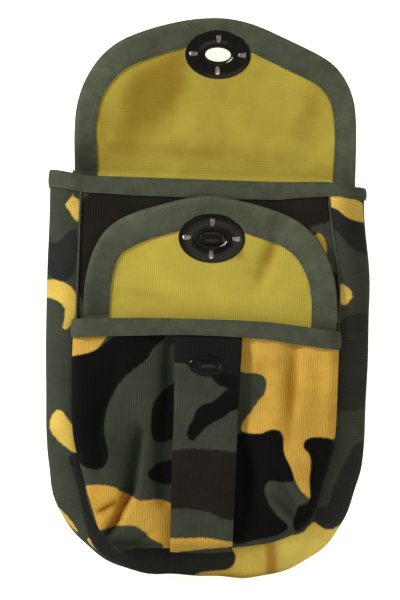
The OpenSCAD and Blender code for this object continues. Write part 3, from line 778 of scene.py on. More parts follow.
def enamel_material():
    """Glossy black enamel, rubbed to metal in scattered scuffs."""
    c = colours()
    nodes = Nodes("black_enamel")
    place = nodes.place()
    grain = nodes.noise(place, 240.0, 4.0, 0.6)
    scuffs = nodes.between(nodes.noise(place, 900.0, 3.0, 0.7), 0.63, 0.72)
    marks_and_painted_light = nodes.math("MULTIPLY", scuffs, nodes.between(grain, 0.5, 0.66))
    nodes.set("Base Color", nodes.mix(marks_and_painted_light, c.enamel, [v * 0.35 for v in c.worn]))
    nodes.set("Roughness", nodes.between(grain, 0.3, 0.7, 0.08, 0.2))
    nodes.set("Specular IOR Level", 0.08)
    # Reflections tinted warm, a painted reflection of the brown surroundings.
    nodes.set("Specular Tint", (1.0, 0.93, 0.76, 1.0))
    nodes.bump(grain, 0.12, 0.0002)
    return nodes.material


def worn_material(name="worn_prongs", colour=None, metallic=0.85):
    """Bare lock metal, browned and scratched."""
    colour = colour or colours().worn
    nodes = Nodes(name)
    grain = nodes.noise(nodes.place(), 700.0, 4.0, 0.65)
    nodes.set("Base Color", nodes.mix(nodes.between(grain, 0.4, 0.65), colour, [v * 0.45 for v in colour]))
    nodes.set("Metallic", metallic)
    nodes.set("Roughness", nodes.between(grain, 0.3, 0.7, 0.3, 0.55))
    nodes.bump(grain, 0.2, 0.0001)
    return nodes.material


def material(name):
    """A finish of the pouch, made on first use."""
    makers = {
        "printed_canvas": canvas_material, "khaki_lining": lining_material, "olive_tape": tape_material,
        "sewing_thread": thread_material, "black_enamel": enamel_material, "worn_prongs": worn_material,
        # Two painted finishes: brown standing in for reflections on the main button's base, and bright metal
        # for glints.
        "reflection_brown_base": lambda: worn_material("reflection_brown_base", REFLECTION_BROWN, 0.3),
        "painted_glint_metal": lambda: worn_material("painted_glint_metal", GLINT_METAL, 0.95),
    }
    return bpy.data.materials.get(name) or makers[name]()


def settle_front(points):
    """Lays the front as photographed: waisted low down, corners squarer than the U, right foot raised."""
    p = np.array(points, float)
    x, y, z = (p[..., k].copy() for k in range(3))
    across, down = np.maximum(np.abs(x) - HUB_X, 0), np.maximum(HUB_Y - y, 0)
    rho = np.hypot(across, down) + 1e-6
    angle = np.degrees(np.arctan2(down, across + 1e-6))
    held = smooth(rho, 15, 45) * smooth(rho, 60, 51) * smooth(z, 4, 20)
    left = x < 0
    push = np.where(left, 5.5, 1.0) * bell(angle, np.where(left, 58, 50), 18)
    waist = np.where(left, 4.2, 2.8) * bell(y, 50, 15)
    foot = smooth(y, 42, 14) * (0.8 + 2.4 * smooth(x, 2, 30))
    p[..., 0] = x + np.sign(x) * held * (push - waist) * across / rho
    p[..., 0] -= 2.0 * bell(y, 44, 18) * smooth(x, 34, 68)
    p[..., 0] += 1.2 * bell(y, 20, 12) * smooth(-x, 34, 60)
    p[..., 1] = y + held * (foot - push * down / rho)
    return p


def slump(points):
    """Moves the body's cloth as photographed: the mouth pinched at the right, lifted at the left."""
    p = settle_front(points)
    x, y, z = p[..., 0].copy(), p[..., 1], p[..., 2]
    front = np.clip(z / FACE_Z, 0, 1)
    pinch = 0.8 + 2.8 * smooth(front, 0.08, 0.5) + 3.6 * front
    p[..., 0] -= pinch * smooth(y, 140, 198) * smooth(x, 18, 60)
    p[..., 0] -= 1.6 * smooth(y, 80, 135) * smooth(-x, 30, 75)
    p[..., 0] += 2.2 * bell(y, 50, 18) * smooth(-x, 64, 80)
    lift = 2.8 * smooth(-x, 58, 82) + 0.9 * smooth(x, 30, 70) - 1.6 * smooth(x, 68, 76)
    p[..., 1] += smooth(y, 176, 197) * lift
    return p


def pocket_hang(points):
    """Moves the pocket's cloth as photographed: its lip arched and its ends let down."""
    p = settle_front(points)
    x, y = p[..., 0].copy(), p[..., 1].copy()
    p[..., 1] += smooth(y, 92, 128) * (0.3 - 2.2 * (x / 66) ** 2 - 1.8 * smooth(x, 22, 66))
    p[..., 0] -= smooth(y, 60, 110) * smooth(-x, 30, 64) + 1.3 * smooth(x, 24, 64)
    p[..., 0] += 2.6 * bell(y, 33, 17) * smooth(-x, 36, 58)
    return p


def u_rail(rho, step, top):
    """The pouch's U from left top to right top: line of its corner centres, outward normals and length."""
    side, arc, flat = top - HUB_Y, math.pi / 2 * rho, 2 * HUB_X
    total = 2 * side + 2 * arc + flat
    s = np.linspace(0, total, int(round(total / step)) + 1)
    turn = np.clip((s - side) / arc, 0, 1) + np.clip((s - side - arc - flat) / arc, 0, 1)
    angle = math.pi + turn * math.pi / 2
    slide = np.clip(s - side - arc, 0, flat)
    rise = np.maximum(side - s, 0) + np.maximum(s - (total - side), 0)
    rail = stacked(-HUB_X + slide, HUB_Y + rise)
    return rail, stacked(np.cos(angle), np.sin(angle)), s


def u_panel(rho, top, step):
    """Grid over a U-shaped panel, from its middle out to its edge, and the edge's rail."""
    rail, out, _ = u_rail(rho, step, top)
    edge = rail + rho * out
    middle = stacked(0, np.maximum(edge[:, 1], HUB_Y))
    share = np.linspace(0, 1, int(round((HUB_X + rho) / step)) + 1)[:, None, None]
    return middle + share * (edge - middle), rail, out


def gusset_arc(count):
    """Section of the gusset from front seam to back seam, as radius and depth, with outward normals."""
    front, back = np.array([RHO_FRONT, FACE_Z]), np.array([RHO_BACK, 0.0])
    chord = back - front
    half = np.linalg.norm(chord) / 2
    out = np.array([-chord[1], chord[0]]) / (2 * half)
    mid = (front + back) / 2
    reach = RHO_OUT - mid[0]
    a, b, c = 1 - out[0] ** 2, 2 * out[0] * reach, half ** 2 - reach ** 2
    centre = mid + out * (-b + math.sqrt(b * b - 4 * a * c)) / (2 * a)
    radius = np.linalg.norm(front - centre)
    first = math.atan2(*(front - centre)[::-1])
    last = math.atan2(*(back - centre)[::-1])
    angle = np.linspace(first, last, count)
    normal = stacked(np.cos(angle), np.sin(angle))
    return centre + radius * normal, normal


class POUCH_OT_panels(bpy.types.Operator):
    """Cut the back and front panels"""

    bl_idname = "pouch.panels"
    bl_label = "Panels"

    def execute(self, context):
        cloth = sizes().canvas
        for name, box, rho, seed, patches in (
            ("back_panel", BACK, RHO_BACK, 31, None), ("front_panel", FRONT, RHO_FRONT, 32, FRONT_PATCHES),
        ):
            flat, _, _ = u_panel(rho - 0.4, box[1][1], sizes().mesh * 1.25)
            x, y = flat[..., 0], flat[..., 1]
            z = (box[0][2] + box[1][2]) / 2 + 0.12 * ripple(x, y, 40, seed)
            print_and_shade = patch_fields(x, y, patches) if patches else printed_fields(x, y, seed)
            mid = slump(stacked(x, y, z))
            parts = [shell(mid, cloth - 0.1, cloth=flat, print_and_shade=print_and_shade)]
            made = dress(name, "canvas", parts, ["printed_canvas"])
            as_sheet(2 * (HUB_X + rho), box[1][1] - box[0][1])
        return {"FINISHED"}


GUSSET_WIDTH = 36
# A crease in the gusset given only as painted shade.
GUSSET_PAINTED_CREASE = (((34, 16), (36, 0), 2.0, 0.7),)


class POUCH_OT_gusset(bpy.types.Operator):
    """Bend the gusset round the panels and lay the piping in its seams"""

    bl_idname = "pouch.gusset"
    bl_label = "Gusset and piping"

    def execute(self, context):
        rail, out, run = u_rail(RHO_OUT, sizes().mesh, MOUTH_Y - 0.8)
        section, normal = gusset_arc(22)
        girth = np.linspace(0, 1, len(section))[None]
        along, across = np.broadcast_arrays(run[:, None], girth * GUSSET_WIDTH)
        low = smooth(rail[:, 1] + RHO_OUT * out[:, 1], 75, 25)[:, None]
        free = np.sin(math.pi * girth)
        gathers = 0.25 * np.sin(along * 2 * math.pi / 23 + 5 * girth)
        wave = free * (0.3 * ripple(along, across, 60, 5) + low * gathers * free)
        rho = section[None, :, 0] + wave * normal[None, :, 0] - sizes().canvas / 2
        depth = section[None, :, 1] + wave * normal[None, :, 1]
        flat = rail[:, None] + rho[..., None] * out[:, None]
        x, y = flat[..., 0], flat[..., 1]
        mid = stacked(x, y, depth)
        seen = smooth(depth, 6, 12)[..., None]
        print_and_shade = seen * patch_fields(x, y, GUSSET_PATCHES) + (1 - seen) * printed_fields(along, across, 41)
        # Painted light: the gusset's dark print paled, more towards the lower right of its foot.
        fade = 0.18 + 0.14 * smooth(x, 10, 45) * smooth(y, 34, 14)
        cloth = stacked(along, across, folds_at(x, y, GUSSET_PAINTED_CREASE) - fade)
        parts = [shell(slump(mid), sizes().canvas, cloth=cloth, print_and_shade=print_and_shade)]
        made = dress("gusset", "canvas", parts, ["printed_canvas"])
        as_sheet(GUSSET_WIDTH, run[-1])
        for name in ("front_piping", "back_piping"):
            self.piping(name)
        return {"FINISHED"}

    def piping(self, name):
        low, high = span(name)
        radius = (high[2] - low[2]) / 2
        rho, depth = high[0] - HUB_X - radius, (low[2] + high[2]) / 2
        rail, out, run = u_rail(rho, sizes().mesh, MOUTH_Y - 1)
        angle = np.linspace(0, 2 * math.pi, 10, endpoint=False)
        wide = radius * (1 + 0.08 * ripple(run, 0 * run, 9, 8))[:, None] * np.cos(angle)
        flat = rail[:, None] + (rho + wide)[..., None] * out[:, None]
        ring = stacked(flat[..., 0], flat[..., 1], depth + radius * np.sin(angle))
        cloth = stacked(angle * radius, run[:, None])
        dress(name, "welt", [tube(slump(ring), cloth)], ["olive_tape"])


def tape_profile(height, inner, thick):
    """Section of a tape folded over an edge: outward offset and fall below the edge, all the way round."""
    outer = inner + thick
    arc = np.linspace(0, math.pi, 9)
    over = [(outer * math.cos(a), outer * math.sin(a)) for a in arc]
    under = [(inner * math.cos(a), inner * math.sin(a)) for a in arc[::-1]]
    legs = np.linspace(height, 0, 6)[:-1]
    right = [(outer, -h) for h in legs]
    left = [(-outer, -h) for h in legs[::-1]]
    back_left = [(-inner, -h) for h in legs]
    back_right = [(inner, -h) for h in legs[::-1]]
    return np.array(right + over + left + back_left + under + back_right)


def lip_tape(path, out, lip, height, inner, pillow, seed, drawn):
    """A tape folded over a level lip, drawn up by a share: rings, cloth coordinates and line of stitches."""
    profile = tape_profile(height, inner, sizes().tape)
    run = lengths(path)
    uneven = 0.5 * ripple(run, 0 * run, 60, seed) + 0.25 * ripple(run, 0 * run, 22, seed + 1)
    swell = 1 + pillow * np.sin(np.clip(-profile[:, 1] / height, 0, 1) * math.pi)
    off = np.broadcast_to(profile[:, 0] * swell, (len(run), len(profile)))
    fall = profile[None, :, 1] * (1 + 0.04 * uneven - drawn)[:, None]
    x = path[:, None, 0] + off * out[:, None, 0]
    z = path[:, None, 1] + off * out[:, None, 1]
    rings = stacked(x, lip - inner - sizes().tape + fall, z)
    reach = lengths(profile)
    cloth = stacked(reach, run[:, None])
    edge = inner + sizes().tape
    stitch_y = lip - height * (1 - drawn) + 0.6
    stitch = stacked(path[:, 0] + edge * out[:, 0], stitch_y, path[:, 1] + edge * out[:, 1])
    facing = stacked(out[:, 0], 0, out[:, 1])
    return rings, cloth, stitch, facing, run[-1]


def bind_lip(node, left, front, lip, height, pillow, seed, drawn, move):
    """Folds a tape over a lip; from above, its path is the left end, the front and the end mirrored."""
    right = (left * [-1, 1])[::-1]
    path = resampled(rounded(np.concatenate([left, front, right]), rounds=1), sizes().mesh)
    t = unit(np.gradient(path, axis=0))
    out = stacked(-t[:, 1], t[:, 0])
    rings, cloth, stitch, facing, length = lip_tape(
        path, out, lip, height, sizes().canvas / 2 + 0.05, pillow, seed, drawn(path[:, 0]))
    parts = [tube(move(rings), cloth), stitches(move(stitch), facing)]
    made = dress(node, "tape", parts, SEWN_TAPE)
    as_sheet(2 * height, length)


class POUCH_OT_mouth_binding(bpy.types.Operator):
    """Fold the tape over the mouth of the pouch"""

    bl_idname = "pouch.mouth_binding"
    bl_label = "Mouth binding"

    def execute(self, context):
        section, _ = gusset_arc(24)
        section = section[::-1] - [sizes().canvas / 2, 0]
        left = stacked(-(HUB_X + section[:, 0]), section[:, 1])[1:]
        x = np.linspace(-HUB_X - RHO_FRONT, HUB_X + RHO_FRONT, 90)[1:-1]
        front = stacked(x, FACE_Z - sizes().canvas / 2)
        height = MOUTH_Y - span("mouth_binding")[0][1]

        def drawn(x):
            return 0.13 + 0.07 * smooth(-x, 37, 75) + 0.26 * smooth(x, 20, 75)

        bind_lip("mouth_binding", left, front, MOUTH_Y + 0.2, height, 0.35, 12, drawn, slump)
        return {"FINISHED"}


def pocket_sink(x, y):
    """How far the pocket's face lies below its full depth: its folds and a soft unevenness."""
    dip = 2.0 * smooth(np.abs(x), 26, 17)
    return dip + smooth(np.abs(x), 13, 20) * (folds_at(x, y, POCKET_FOLDS) + 0.5 + 0.5 * ripple(x, y, 38, 21))


# What the pocket's rolled sides and foot add to its cut size, laid flat.
ROLL_LAID_FLAT, FOOT_LAID_FLAT = 14, 12


class POUCH_OT_pocket(bpy.types.Operator):
    """Shape the front pocket, its pleat and the hem of its flap"""

    bl_idname = "pouch.pocket"
    bl_label = "Pocket"

    def execute(self, context):
        self.bag()
        self.pleat()
        self.lip()
        self.hem()
        return {"FINISHED"}

    def bag(self):
        top, half = POCKET[1][1] - 0.3, sizes().canvas / 2
        flat, rail, out = u_panel(ROLL_RHO, top, sizes().mesh)
        angle = np.linspace(0, math.radians(168), 12)[1:, None, None]
        radius = ROLL_R - half
        roll = rail + (ROLL_RHO + radius * np.sin(angle)) * out
        roll_z = ROLL_Z + radius * np.cos(angle[..., 0]) + 0 * roll[..., 0]
        plan = np.concatenate([flat, roll])
        depth = np.concatenate([np.full(flat.shape[:2], ROLL_Z + radius), roll_z])
        x, y = plan[..., 0], plan[..., 1]
        share = np.clip((depth - FACE_Z) / (2 * ROLL_R), 0, 1)
        puff = 0.5 * ripple(x, y, 30, 22) * np.sin(math.pi * share)
        sunk = share * pocket_sink(x, y)
        mid = pocket_hang(stacked(x, y, depth - sunk + 0.3 * puff))
        # The third value is painted shade, deeper where the folds sink the cloth, with the listed shade and
        # light besides.
        cloth = stacked(x, y, smooth(sunk, 1.0, 4.2) + folds_at(x, y, POCKET_SHADE))
        parts = [shell(mid, 2 * half, cloth=cloth, print_and_shade=patch_fields(x, y, POCKET_PATCHES))]
        made = dress("pocket_panel", "canvas", parts, ["printed_canvas"])
        as_sheet(2 * (HUB_X + ROLL_RHO + ROLL_LAID_FLAT), top + FOOT_LAID_FLAT)

    def pleat(self):
        low, high = PLEAT
        half_w, thick = high[0] - 0.3, 1.2
        y = np.linspace(low[1] + 0.4, high[1] + 2.5, int((high[1] - low[1]) / sizes().mesh))[:, None]
        u = np.linspace(-1, 1, 25)[None]
        edge = half_w * (1 + 0.06 * smooth(y, 80, 120) - 0.03 * smooth(y, 60, 10))
        x = edge * u
        below = np.clip(HUB_Y - ROLL_RHO - y, 0, ROLL_R)
        drop = ROLL_R - np.sqrt(np.maximum(ROLL_R ** 2 - below ** 2, 0))
        crown = high[2] - thick / 2 - 0.15 - 0.5 * np.abs(u) ** 8 + 0.12 * ripple(x, y, 50, 23)
        z = crown - drop - 1.5 * smooth(y, high[1] - 6, high[1] + 1)
        flat = stacked(x, y)
        mid = pocket_hang(stacked(x, y, z))
        print_and_shade = patch_fields(flat[..., 0], flat[..., 1], PLEAT_PATCHES)
        # The pleat's print paled a little toward its top.
        cloth = stacked(x, y, -0.1 * smooth(y, 84, 104))
        parts = [shell(mid, thick, cloth=cloth, print_and_shade=print_and_shade)]
        made = dress("pocket_pleat", "canvas", parts, ["printed_canvas"])
        as_sheet(2 * half_w, high[1] - low[1])

    def lip(self):
        angle = np.linspace(math.radians(160), 0, 14)
        radius = ROLL_R - sizes().canvas / 2
        left = stacked(-(HUB_X + ROLL_RHO + radius * np.sin(angle)), ROLL_Z + radius * np.cos(angle))
        x = np.linspace(-HUB_X - ROLL_RHO, HUB_X + ROLL_RHO, 80)[1:-1]
        over_pleat = 0.5 * smooth(np.abs(x), PLEAT[1][0] + 2, PLEAT[1][0] - 3)
        front = stacked(x, ROLL_Z + radius + over_pleat)
        height = POCKET_LIP - span("pocket_binding")[0][1] + 1.2

        def drawn(x):
            return 0.19 * bell(x, -2, 40)

        bind_lip("pocket_binding", left, front, POCKET_LIP, height, 0.45, 16, drawn, pocket_hang)

    def hem(self):
        low, high = span("pocket_flap_hem")
        thick, parts = 1.3, []
        y = np.linspace(low[1] - 2, high[1] + 0.4, 10)
        for left, right, slot in ((-50.6, 51.2, 0), (-62.4, -50, 1), (50.8, 63.4, 1)):
            x = np.linspace(left, right, int((right - left) / sizes().mesh) + 2)
            flat = stacked(x[:, None], y)
            z = high[2] - thick / 2 - 2.2 * smooth(flat[..., 1], 126, 119) + 0.35 * slot
            mid = stacked(flat[..., 0], flat[..., 1], z)
            parts.append(shell(mid, thick + 0.7 * slot, cloth=flat[..., ::-1], slot=slot))
        made = dress("pocket_flap_hem", "cloth", parts, ["khaki_lining", "olive_tape"])
        as_sheet(high[0] - low[0], 2 * (high[1] - low[1]))


# How each flap is cut: its lining's tail below the base, the tape's widths at side and tip, its print's seed.
FLAPS = {
    "main": {
        "outline": MAIN_OUTLINE, "folds": MAIN_FOLDS, "shade_and_soil": MAIN_LINING_SHADE_AND_SOIL, "tape_light_and_soil": MAIN_TAPE_LIGHT_AND_SOIL,
        "tail": 5.0, "tape_side": 10.4, "tape_tip": 13.2, "seed": 64,
    },
    "pocket": {
        "outline": POCKET_OUTLINE, "folds": POCKET_FLAP_FOLDS, "shade_and_soil": POCKET_LINING_SHADE_AND_SOIL, "tape_light_and_soil": POCKET_TAPE_LIGHT_AND_SOIL,
        "tail": 0.0, "tape_side": 12.2, "tape_tip": 14.4, "seed": 71,
    },
}


class POUCH_OT_flaps(bpy.types.Operator):
    """Cut and bind the two flaps"""

    bl_idname = "pouch.flaps"
    bl_label = "Flaps"

    def execute(self, context):
        bases = {"main": span("back_panel")[1][1] - 0.6, "pocket": span("pocket_flap_hem")[1][1] - 1.2}
        for name, cut in FLAPS.items():
            self.flap(name, bases[name], **cut)
        return {"FINISHED"}

    def flap(self, name, base, outline, folds, shade_and_soil, tape_light_and_soil, tail, tape_side, tape_tip, seed):
        places = {j["name"]: j["pos_m"][2] / MM - FOOT for j in frame["record"]["behaviour"]["joints"]}
        fold_y, turn_y = places[f"{name}_flap_fold"], places[f"{name}_flap_turn"]
        rim = resampled(rounded(outline, rounds=2), 1.0)
        split = (fold_y + turn_y) / 2
        box = span(f"{name}_flap_outer")
        lining_box = span(f"{name}_flap_lining")
        eyelet = span(f"{name}_eyelet")
        centre = (eyelet[0] + eyelet[1]) / 2
        canvas_z, lining_z = (box[0][2] + box[1][2]) / 2, (lining_box[0][2] + lining_box[1][2]) / 2
        mid_z = (box[0][2] + lining_box[1][2]) / 2

        def sag(x, y):
            flatness = smooth(np.hypot(x / 1.25, y - centre[1]), 13, 24)
            free = smooth(y, turn_y - 4, turn_y + 12)
            return -flatness * free * (folds_at(x, y, folds) + 0.25 + 0.25 * ripple(x, y, 44, seed))

        def tuck(y):
            """How far the lining and tape step in front of the panel that they are sewn to."""
            return tail and 1.7 * smooth(y, base + 1.2, base - 0.6)

        def squeeze(x, y):
            """Share of the tape's height lost under the eyelet's plates, and on the mouth when shut."""
            plate = (eyelet[1] - eyelet[0]) / 2
            under = 0.45 * smooth(np.hypot((x - centre[0]) / plate[0], (y - centre[1]) / plate[1]), 1.14, 1.0)
            return np.maximum(under, 0.28 * smooth(np.abs(y - turn_y + 6.4), 7, 3) if tail else 0)

        high = rim[:, 1] >= split
        left, right = (end * [1, 0] + [0, split] for end in (rim[high][:1], rim[high][-1:]))
        upper = np.concatenate([left, rim[high], right])
        ways = {
            "bridge": (("pouch", f"{name}_bridge"), fold_y),
            "flap": ((f"{name}_bridge", f"{name}_flap"), turn_y),
        }
        for layer, z, thick, finish, slot in (
            ("outer", canvas_z, sizes().canvas, "printed_canvas", "canvas"),
            ("lining", lining_z, sizes().lining, "khaki_lining", "lining"),
        ):
            side = 0.9
            width = upper[-1, 0] - upper[0, 0]
            x = np.linspace(upper[0, 0] + side, upper[-1, 0] - side, int(width / sizes().mesh))
            start = base - tail if layer == "lining" else base
            y = np.linspace(start, split, int((split - start) / 1.2) + 1)
            low_flat = stacked(x[:, None], y)
            high_flat = self.annulus(upper, centre, side)
            for part, flat, wrap in (("bridge", low_flat, False), ("flap", high_flat, True)):
                px, py = flat[..., 0], flat[..., 1]
                mid = stacked(px, py, z + sag(px, py) + (tuck(py) if layer == "lining" else 0))
                print_and_shade_fields = printed_fields(px, py, seed)
                # On the linings the print's place holds painted shade in the folds and soil.
                if layer == "lining":
                    print_and_shade_fields = stacked(folds_at(px, py, shade_and_soil), 0, 0)
                weave = flat[..., ::-1] if f"{name} {layer}" == "pocket lining" else flat
                made = piece(f"{name}_{part}_{layer}_cloth", [shell(mid, thick - 0.06, wrap, weave, print_and_shade_fields)],
                             [finish])
                self.hang(made, *ways[part])
                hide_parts(f"{name}_{part}_{layer}")
                as_sheet(px.max() - px.min(), max(py.max() - py.min(), 10))
        self.binding(name, rim, split, base - tail, mid_z, lambda x, y: sag(x, y) + tuck(y), squeeze, tape_light_and_soil,
                     tape_side, tape_tip, ways)

    def annulus(self, upper, centre, inset):
        """Grid over the flap from the hole of its eyelet out to its edge."""
        edge = resampled(upper, sizes().mesh)
        foot = stacked(np.linspace(edge[-1, 0], edge[0, 0], 80), edge[0, 1])[1:-1]
        ring = np.concatenate([edge, foot])
        inward = unit(centre[:2] - ring)
        ring = ring + np.where(ring[:, 1:] > edge[0, 1] + 0.01, inset * inward, [[0.0, 0.0]])
        hole_w, hole_h = 8.4, 5.4
        angle = np.arctan2((ring[:, 1] - centre[1]) / hole_h, (ring[:, 0] - centre[0]) / hole_w)
        hole = stacked(centre[0] + hole_w * np.cos(angle), centre[1] + hole_h * np.sin(angle))
        share = np.linspace(0, 1, 44)[:, None, None]
        return hole + share * (ring - hole)

    def hang(self, made, bodies, fold_y):
        """Bakes the cloth's place into its mesh; it doesn't bend it between the bodies."""
        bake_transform(made)

    def binding(self, name, rim, split, base, mid_z, sag, squeeze, tape_light_and_soil, tape_side, tape_tip, ways):
        half = (sizes().canvas + sizes().lining) / 2
        tangent = unit(np.gradient(rim, axis=0))
        inward = stacked(tangent[:, 1], -tangent[:, 0])
        run = np.arange(len(rim)) * 1.0
        width = tape_side + (tape_tip - tape_side) * smooth(np.abs(tangent[:, 0]), 0.2, 0.95)
        width = width + 0.35 * ripple(run, 0 * run, 50, 81)
        profile = tape_profile(1.0, half, sizes().tape)
        inset = np.where(profile[:, 1] < 0, -profile[None, :, 1] * width[:, None], -profile[None, :, 1] * 0.5)
        lift = np.broadcast_to(profile[:, 0], inset.shape)
        plan = rim[:, None] + (inset + 0.3)[..., None] * inward[:, None]
        x, y = plan[..., 0], plan[..., 1]
        lift = lift + 0.25 * np.sign(lift) * np.sin(math.pi * np.clip(inset / width[:, None], 0, 1))
        rings = stacked(x, y, mid_z + lift * (1 - squeeze(x, y)) + sag(x, y))
        reach = lengths(profile * [1, 12])
        # Painted light on the tape's rolled edge and where the flap catches light; below 0 painted shade and
        # soil.
        marks_and_painted_light = folds_at(x, y, tape_light_and_soil) + 0.3 * bell(inset, 0, 1.8)
        cloth = stacked(reach, run[:, None], marks_and_painted_light)
        seam = rim + (width - 0.9)[:, None] * inward
        rise = (half + sizes().tape + 0.08) * (1 - squeeze(seam[:, 0], seam[:, 1]))
        lie = mid_z + sag(seam[:, 0], seam[:, 1])
        face, back = (np.column_stack([seam, lie + side * rise]) for side in (1, -1))
        first = int(np.argmax(rim[:, 1] >= split))
        last = len(rim) - int(np.argmax(rim[::-1, 1] >= split))
        begin = int(np.argmax(rim[:, 1] >= base))
        end = len(rim) - int(np.argmax(rim[::-1, 1] >= base))
        for part, runs in (("bridge", [(begin, first + 1), (last - 1, end)]), ("flap", [(first, last)])):
            parts = []
            for a, b in runs:
                parts.append(tube(rings[a:b], cloth[a:b]))
                parts += [stitches(face[a:b], (0, 0, 1)), stitches(back[a:b], (0, 0, -1))]
            made = piece(f"{name}_{part}_tape", parts, SEWN_TAPE)
            self.hang(made, *ways[part])
            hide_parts(f"{name}_{part}_binding")
            as_sheet(2 * tape_side, sum(b - a for a, b in runs) * 1.0)


class POUCH_OT_belt_loops(bpy.types.Operator):
    """Sew the two webbing loops to the back"""

    bl_idname = "pouch.belt_loops"
    bl_label = "Belt loops"

    def execute(self, context):
        for node in ("belt_loop_left", "belt_loop_right"):
            low, high = span(node)
            thick = 1.5
            inner, outer = high[2] - thick / 2, low[2] + thick / 2
            seam, slope = 12.0, 5.0
            line = [(high[1] - 0.3, inner), (high[1] - seam, inner), (high[1] - seam - slope, outer),
                    (low[1] + seam + slope, outer), (low[1] + seam, inner), (low[1] + 0.3, inner)]
            path = resampled(rounded(line, rounds=2), 1.0)
            x = np.linspace(low[0] + 0.1, high[0] - 0.1, 22)
            run = np.arange(len(path)) * 1.0
            mid = stacked(x, path[:, :1], path[:, 1:])
            cloth = stacked(x, run[:, None])
            parts = [shell(mid, thick, cloth=cloth)]
            for top in (high[1] - 0.3, low[1] + seam - 0.7):
                parts += self.box_stitch(low[0] + 2.2, high[0] - 2.2, top - 1.6, top - seam + 2.6,
                                         inner - thick / 2)
            made = dress(node, "webbing", parts, SEWN_TAPE)
            as_sheet(high[0] - low[0], run[-1])
        return {"FINISHED"}

    def box_stitch(self, left, right, top, bottom, z):
        corners = [(left, top), (right, top), (right, bottom), (left, bottom), (left, top)]
        lines = [corners, [(left, top), (right, bottom)], [(right, top), (left, bottom)]]
        return [stitches([(x, y, z) for x, y in line], (0, 0, -1)) for line in lines]


# The eyelet's hole, how far its face is domed, and where between hole and edge its bead has a painted glint.
EYELET_HOLE = np.array([12.9, 7.1])
EYELET_CROWN = 0.6
GLINT_AT = 0.125


def oval(width, height, z, centre, count=64, square=2.0):
    """Points round an oval at one depth; a larger square fills its corners."""
    angle = np.linspace(0, 2 * math.pi, count, endpoint=False)
    c, s = np.cos(angle), np.sin(angle)
    reach = (np.abs(c) ** square + np.abs(s) ** square) ** (-1 / square)
    x, y = centre[0] + width / 2 * reach * c, centre[1] + height / 2 * reach * s
    return stacked(x, y, z)


class POUCH_OT_eyelets(bpy.types.Operator):
    """Press the eyelet and its clinched washer into each flap"""

    bl_idname = "pouch.eyelets"
    bl_label = "Eyelets"

    def execute(self, context):
        for name in ("main", "pocket"):
            for node, facing in ((f"{name}_eyelet", -1), (f"{name}_eyelet_backplate", 1)):
                low, high = span(node)
                centre = (low + high) / 2
                seat = span(f"{name}_flap_lining")[1][2] if facing > 0 else span(f"{name}_flap_outer")[0][2]
                parts = [self.plate(centre, high - low, seat, facing)]
                if facing > 0:
                    parts += self.prongs(centre, high - low, seat)
                    parts.append(self.painted_glint(centre, high - low, seat))
                finishes = ["black_enamel", "worn_prongs", "painted_glint_metal"]
                dress(node, "enamelled", parts, finishes, f"{name}_flap")
        return {"FINISHED"}

    def plate(self, centre, size, seat, facing):
        """A pressed oval plate with a domed face, a rolled hole and a soft outer edge."""
        rows = []
        for share, lift in (
            (0.0, -0.3), (0.0, 0.5), (0.03, 0.85), (0.07, 1.0), (0.1, 0.96), (0.13, 0.78), (0.175, 0.44),
            (0.22, 0.42), (0.27, 0.62), (0.34, 0.82), (0.5, 0.96), (0.68, 0.94), (0.82, 0.86), (0.92, 0.74),
            (0.975, 0.6), (1.0, 0.38), (1.0, 0.0), (0.97, -0.02), (0.5, 0.1), (0.1, 0.05),
        ):
            wide, tall = EYELET_HOLE + share * (size[:2] - EYELET_HOLE)
            rows.append(oval(wide, tall, seat + facing * EYELET_CROWN * lift, centre))
        rows.append(rows[0])
        return tube(rows, capped=False)

    def painted_glint(self, centre, size, seat):
        """A painted glint: bright metal at the lower right of the hole's bead."""
        half = (EYELET_HOLE + GLINT_AT * (size[:2] - EYELET_HOLE)) / 2
        z = seat + 0.8 * EYELET_CROWN
        around = np.linspace(0, 2 * math.pi, 8, endpoint=False)
        rows = []
        for share in np.linspace(0, 1, 18):
            angle = math.radians(-58 + 46 * share)
            place = centre[:2] + half * [math.cos(angle), math.sin(angle)]
            out = unit(np.array([math.cos(angle), math.sin(angle)]) / half)
            wide = 0.06 + 0.2 * math.sin(math.pi * share)
            rows.append([(*(place + wide * math.cos(a) * out), z + 0.12 * math.sin(a)) for a in around])
        return tube(rows, slot=2)

    def prongs(self, centre, size, seat):
        """Four wedge-shaped prongs bent outward through their slots."""
        parts = []
        for turn in range(4):
            reach = size[turn % 2] / 2
            parts.append(self.tab(centre, turn, reach - 6.4, reach - 2.0, 1.5, 2.9, seat + 0.46, 0.24, 1))
            # The left and lower prongs' ends get painted glints.
            if turn > 1:
                tip = self.tab(centre, turn, reach - 2.8, reach - 2.05, 1.1, 1.6, seat + 0.49, 0.28, 2)
                parts.append(tip)
        return parts

    def tab(self, centre, turn, near, far, narrow, wide, z, thick, slot):
        """One prong, some quarter turns round from the right."""
        c, s = round(math.cos(turn * math.pi / 2)), round(math.sin(turn * math.pi / 2))
        rows = []
        for share, rise in ((0, -0.25), (0.08, 0.06), (0.3, 0.17), (0.6, 0.14), (0.9, -0.05), (1.0, -0.3)):
            r = near + share * (far - near)
            half = (narrow + share * (wide - narrow)) / 2
            ring = []
            for across, up in ((-1, -1), (-1, 0.4), (-0.8, 1), (0, 1.2), (0.8, 1), (1, 0.4), (1, -1)):
                x, y = c * r - s * across * half, s * r + c * across * half
                ring.append((centre[0] + x, centre[1] + y, z + rise + up * thick / 2))
            rows.append(ring)
        return tube(rows, slot=slot)


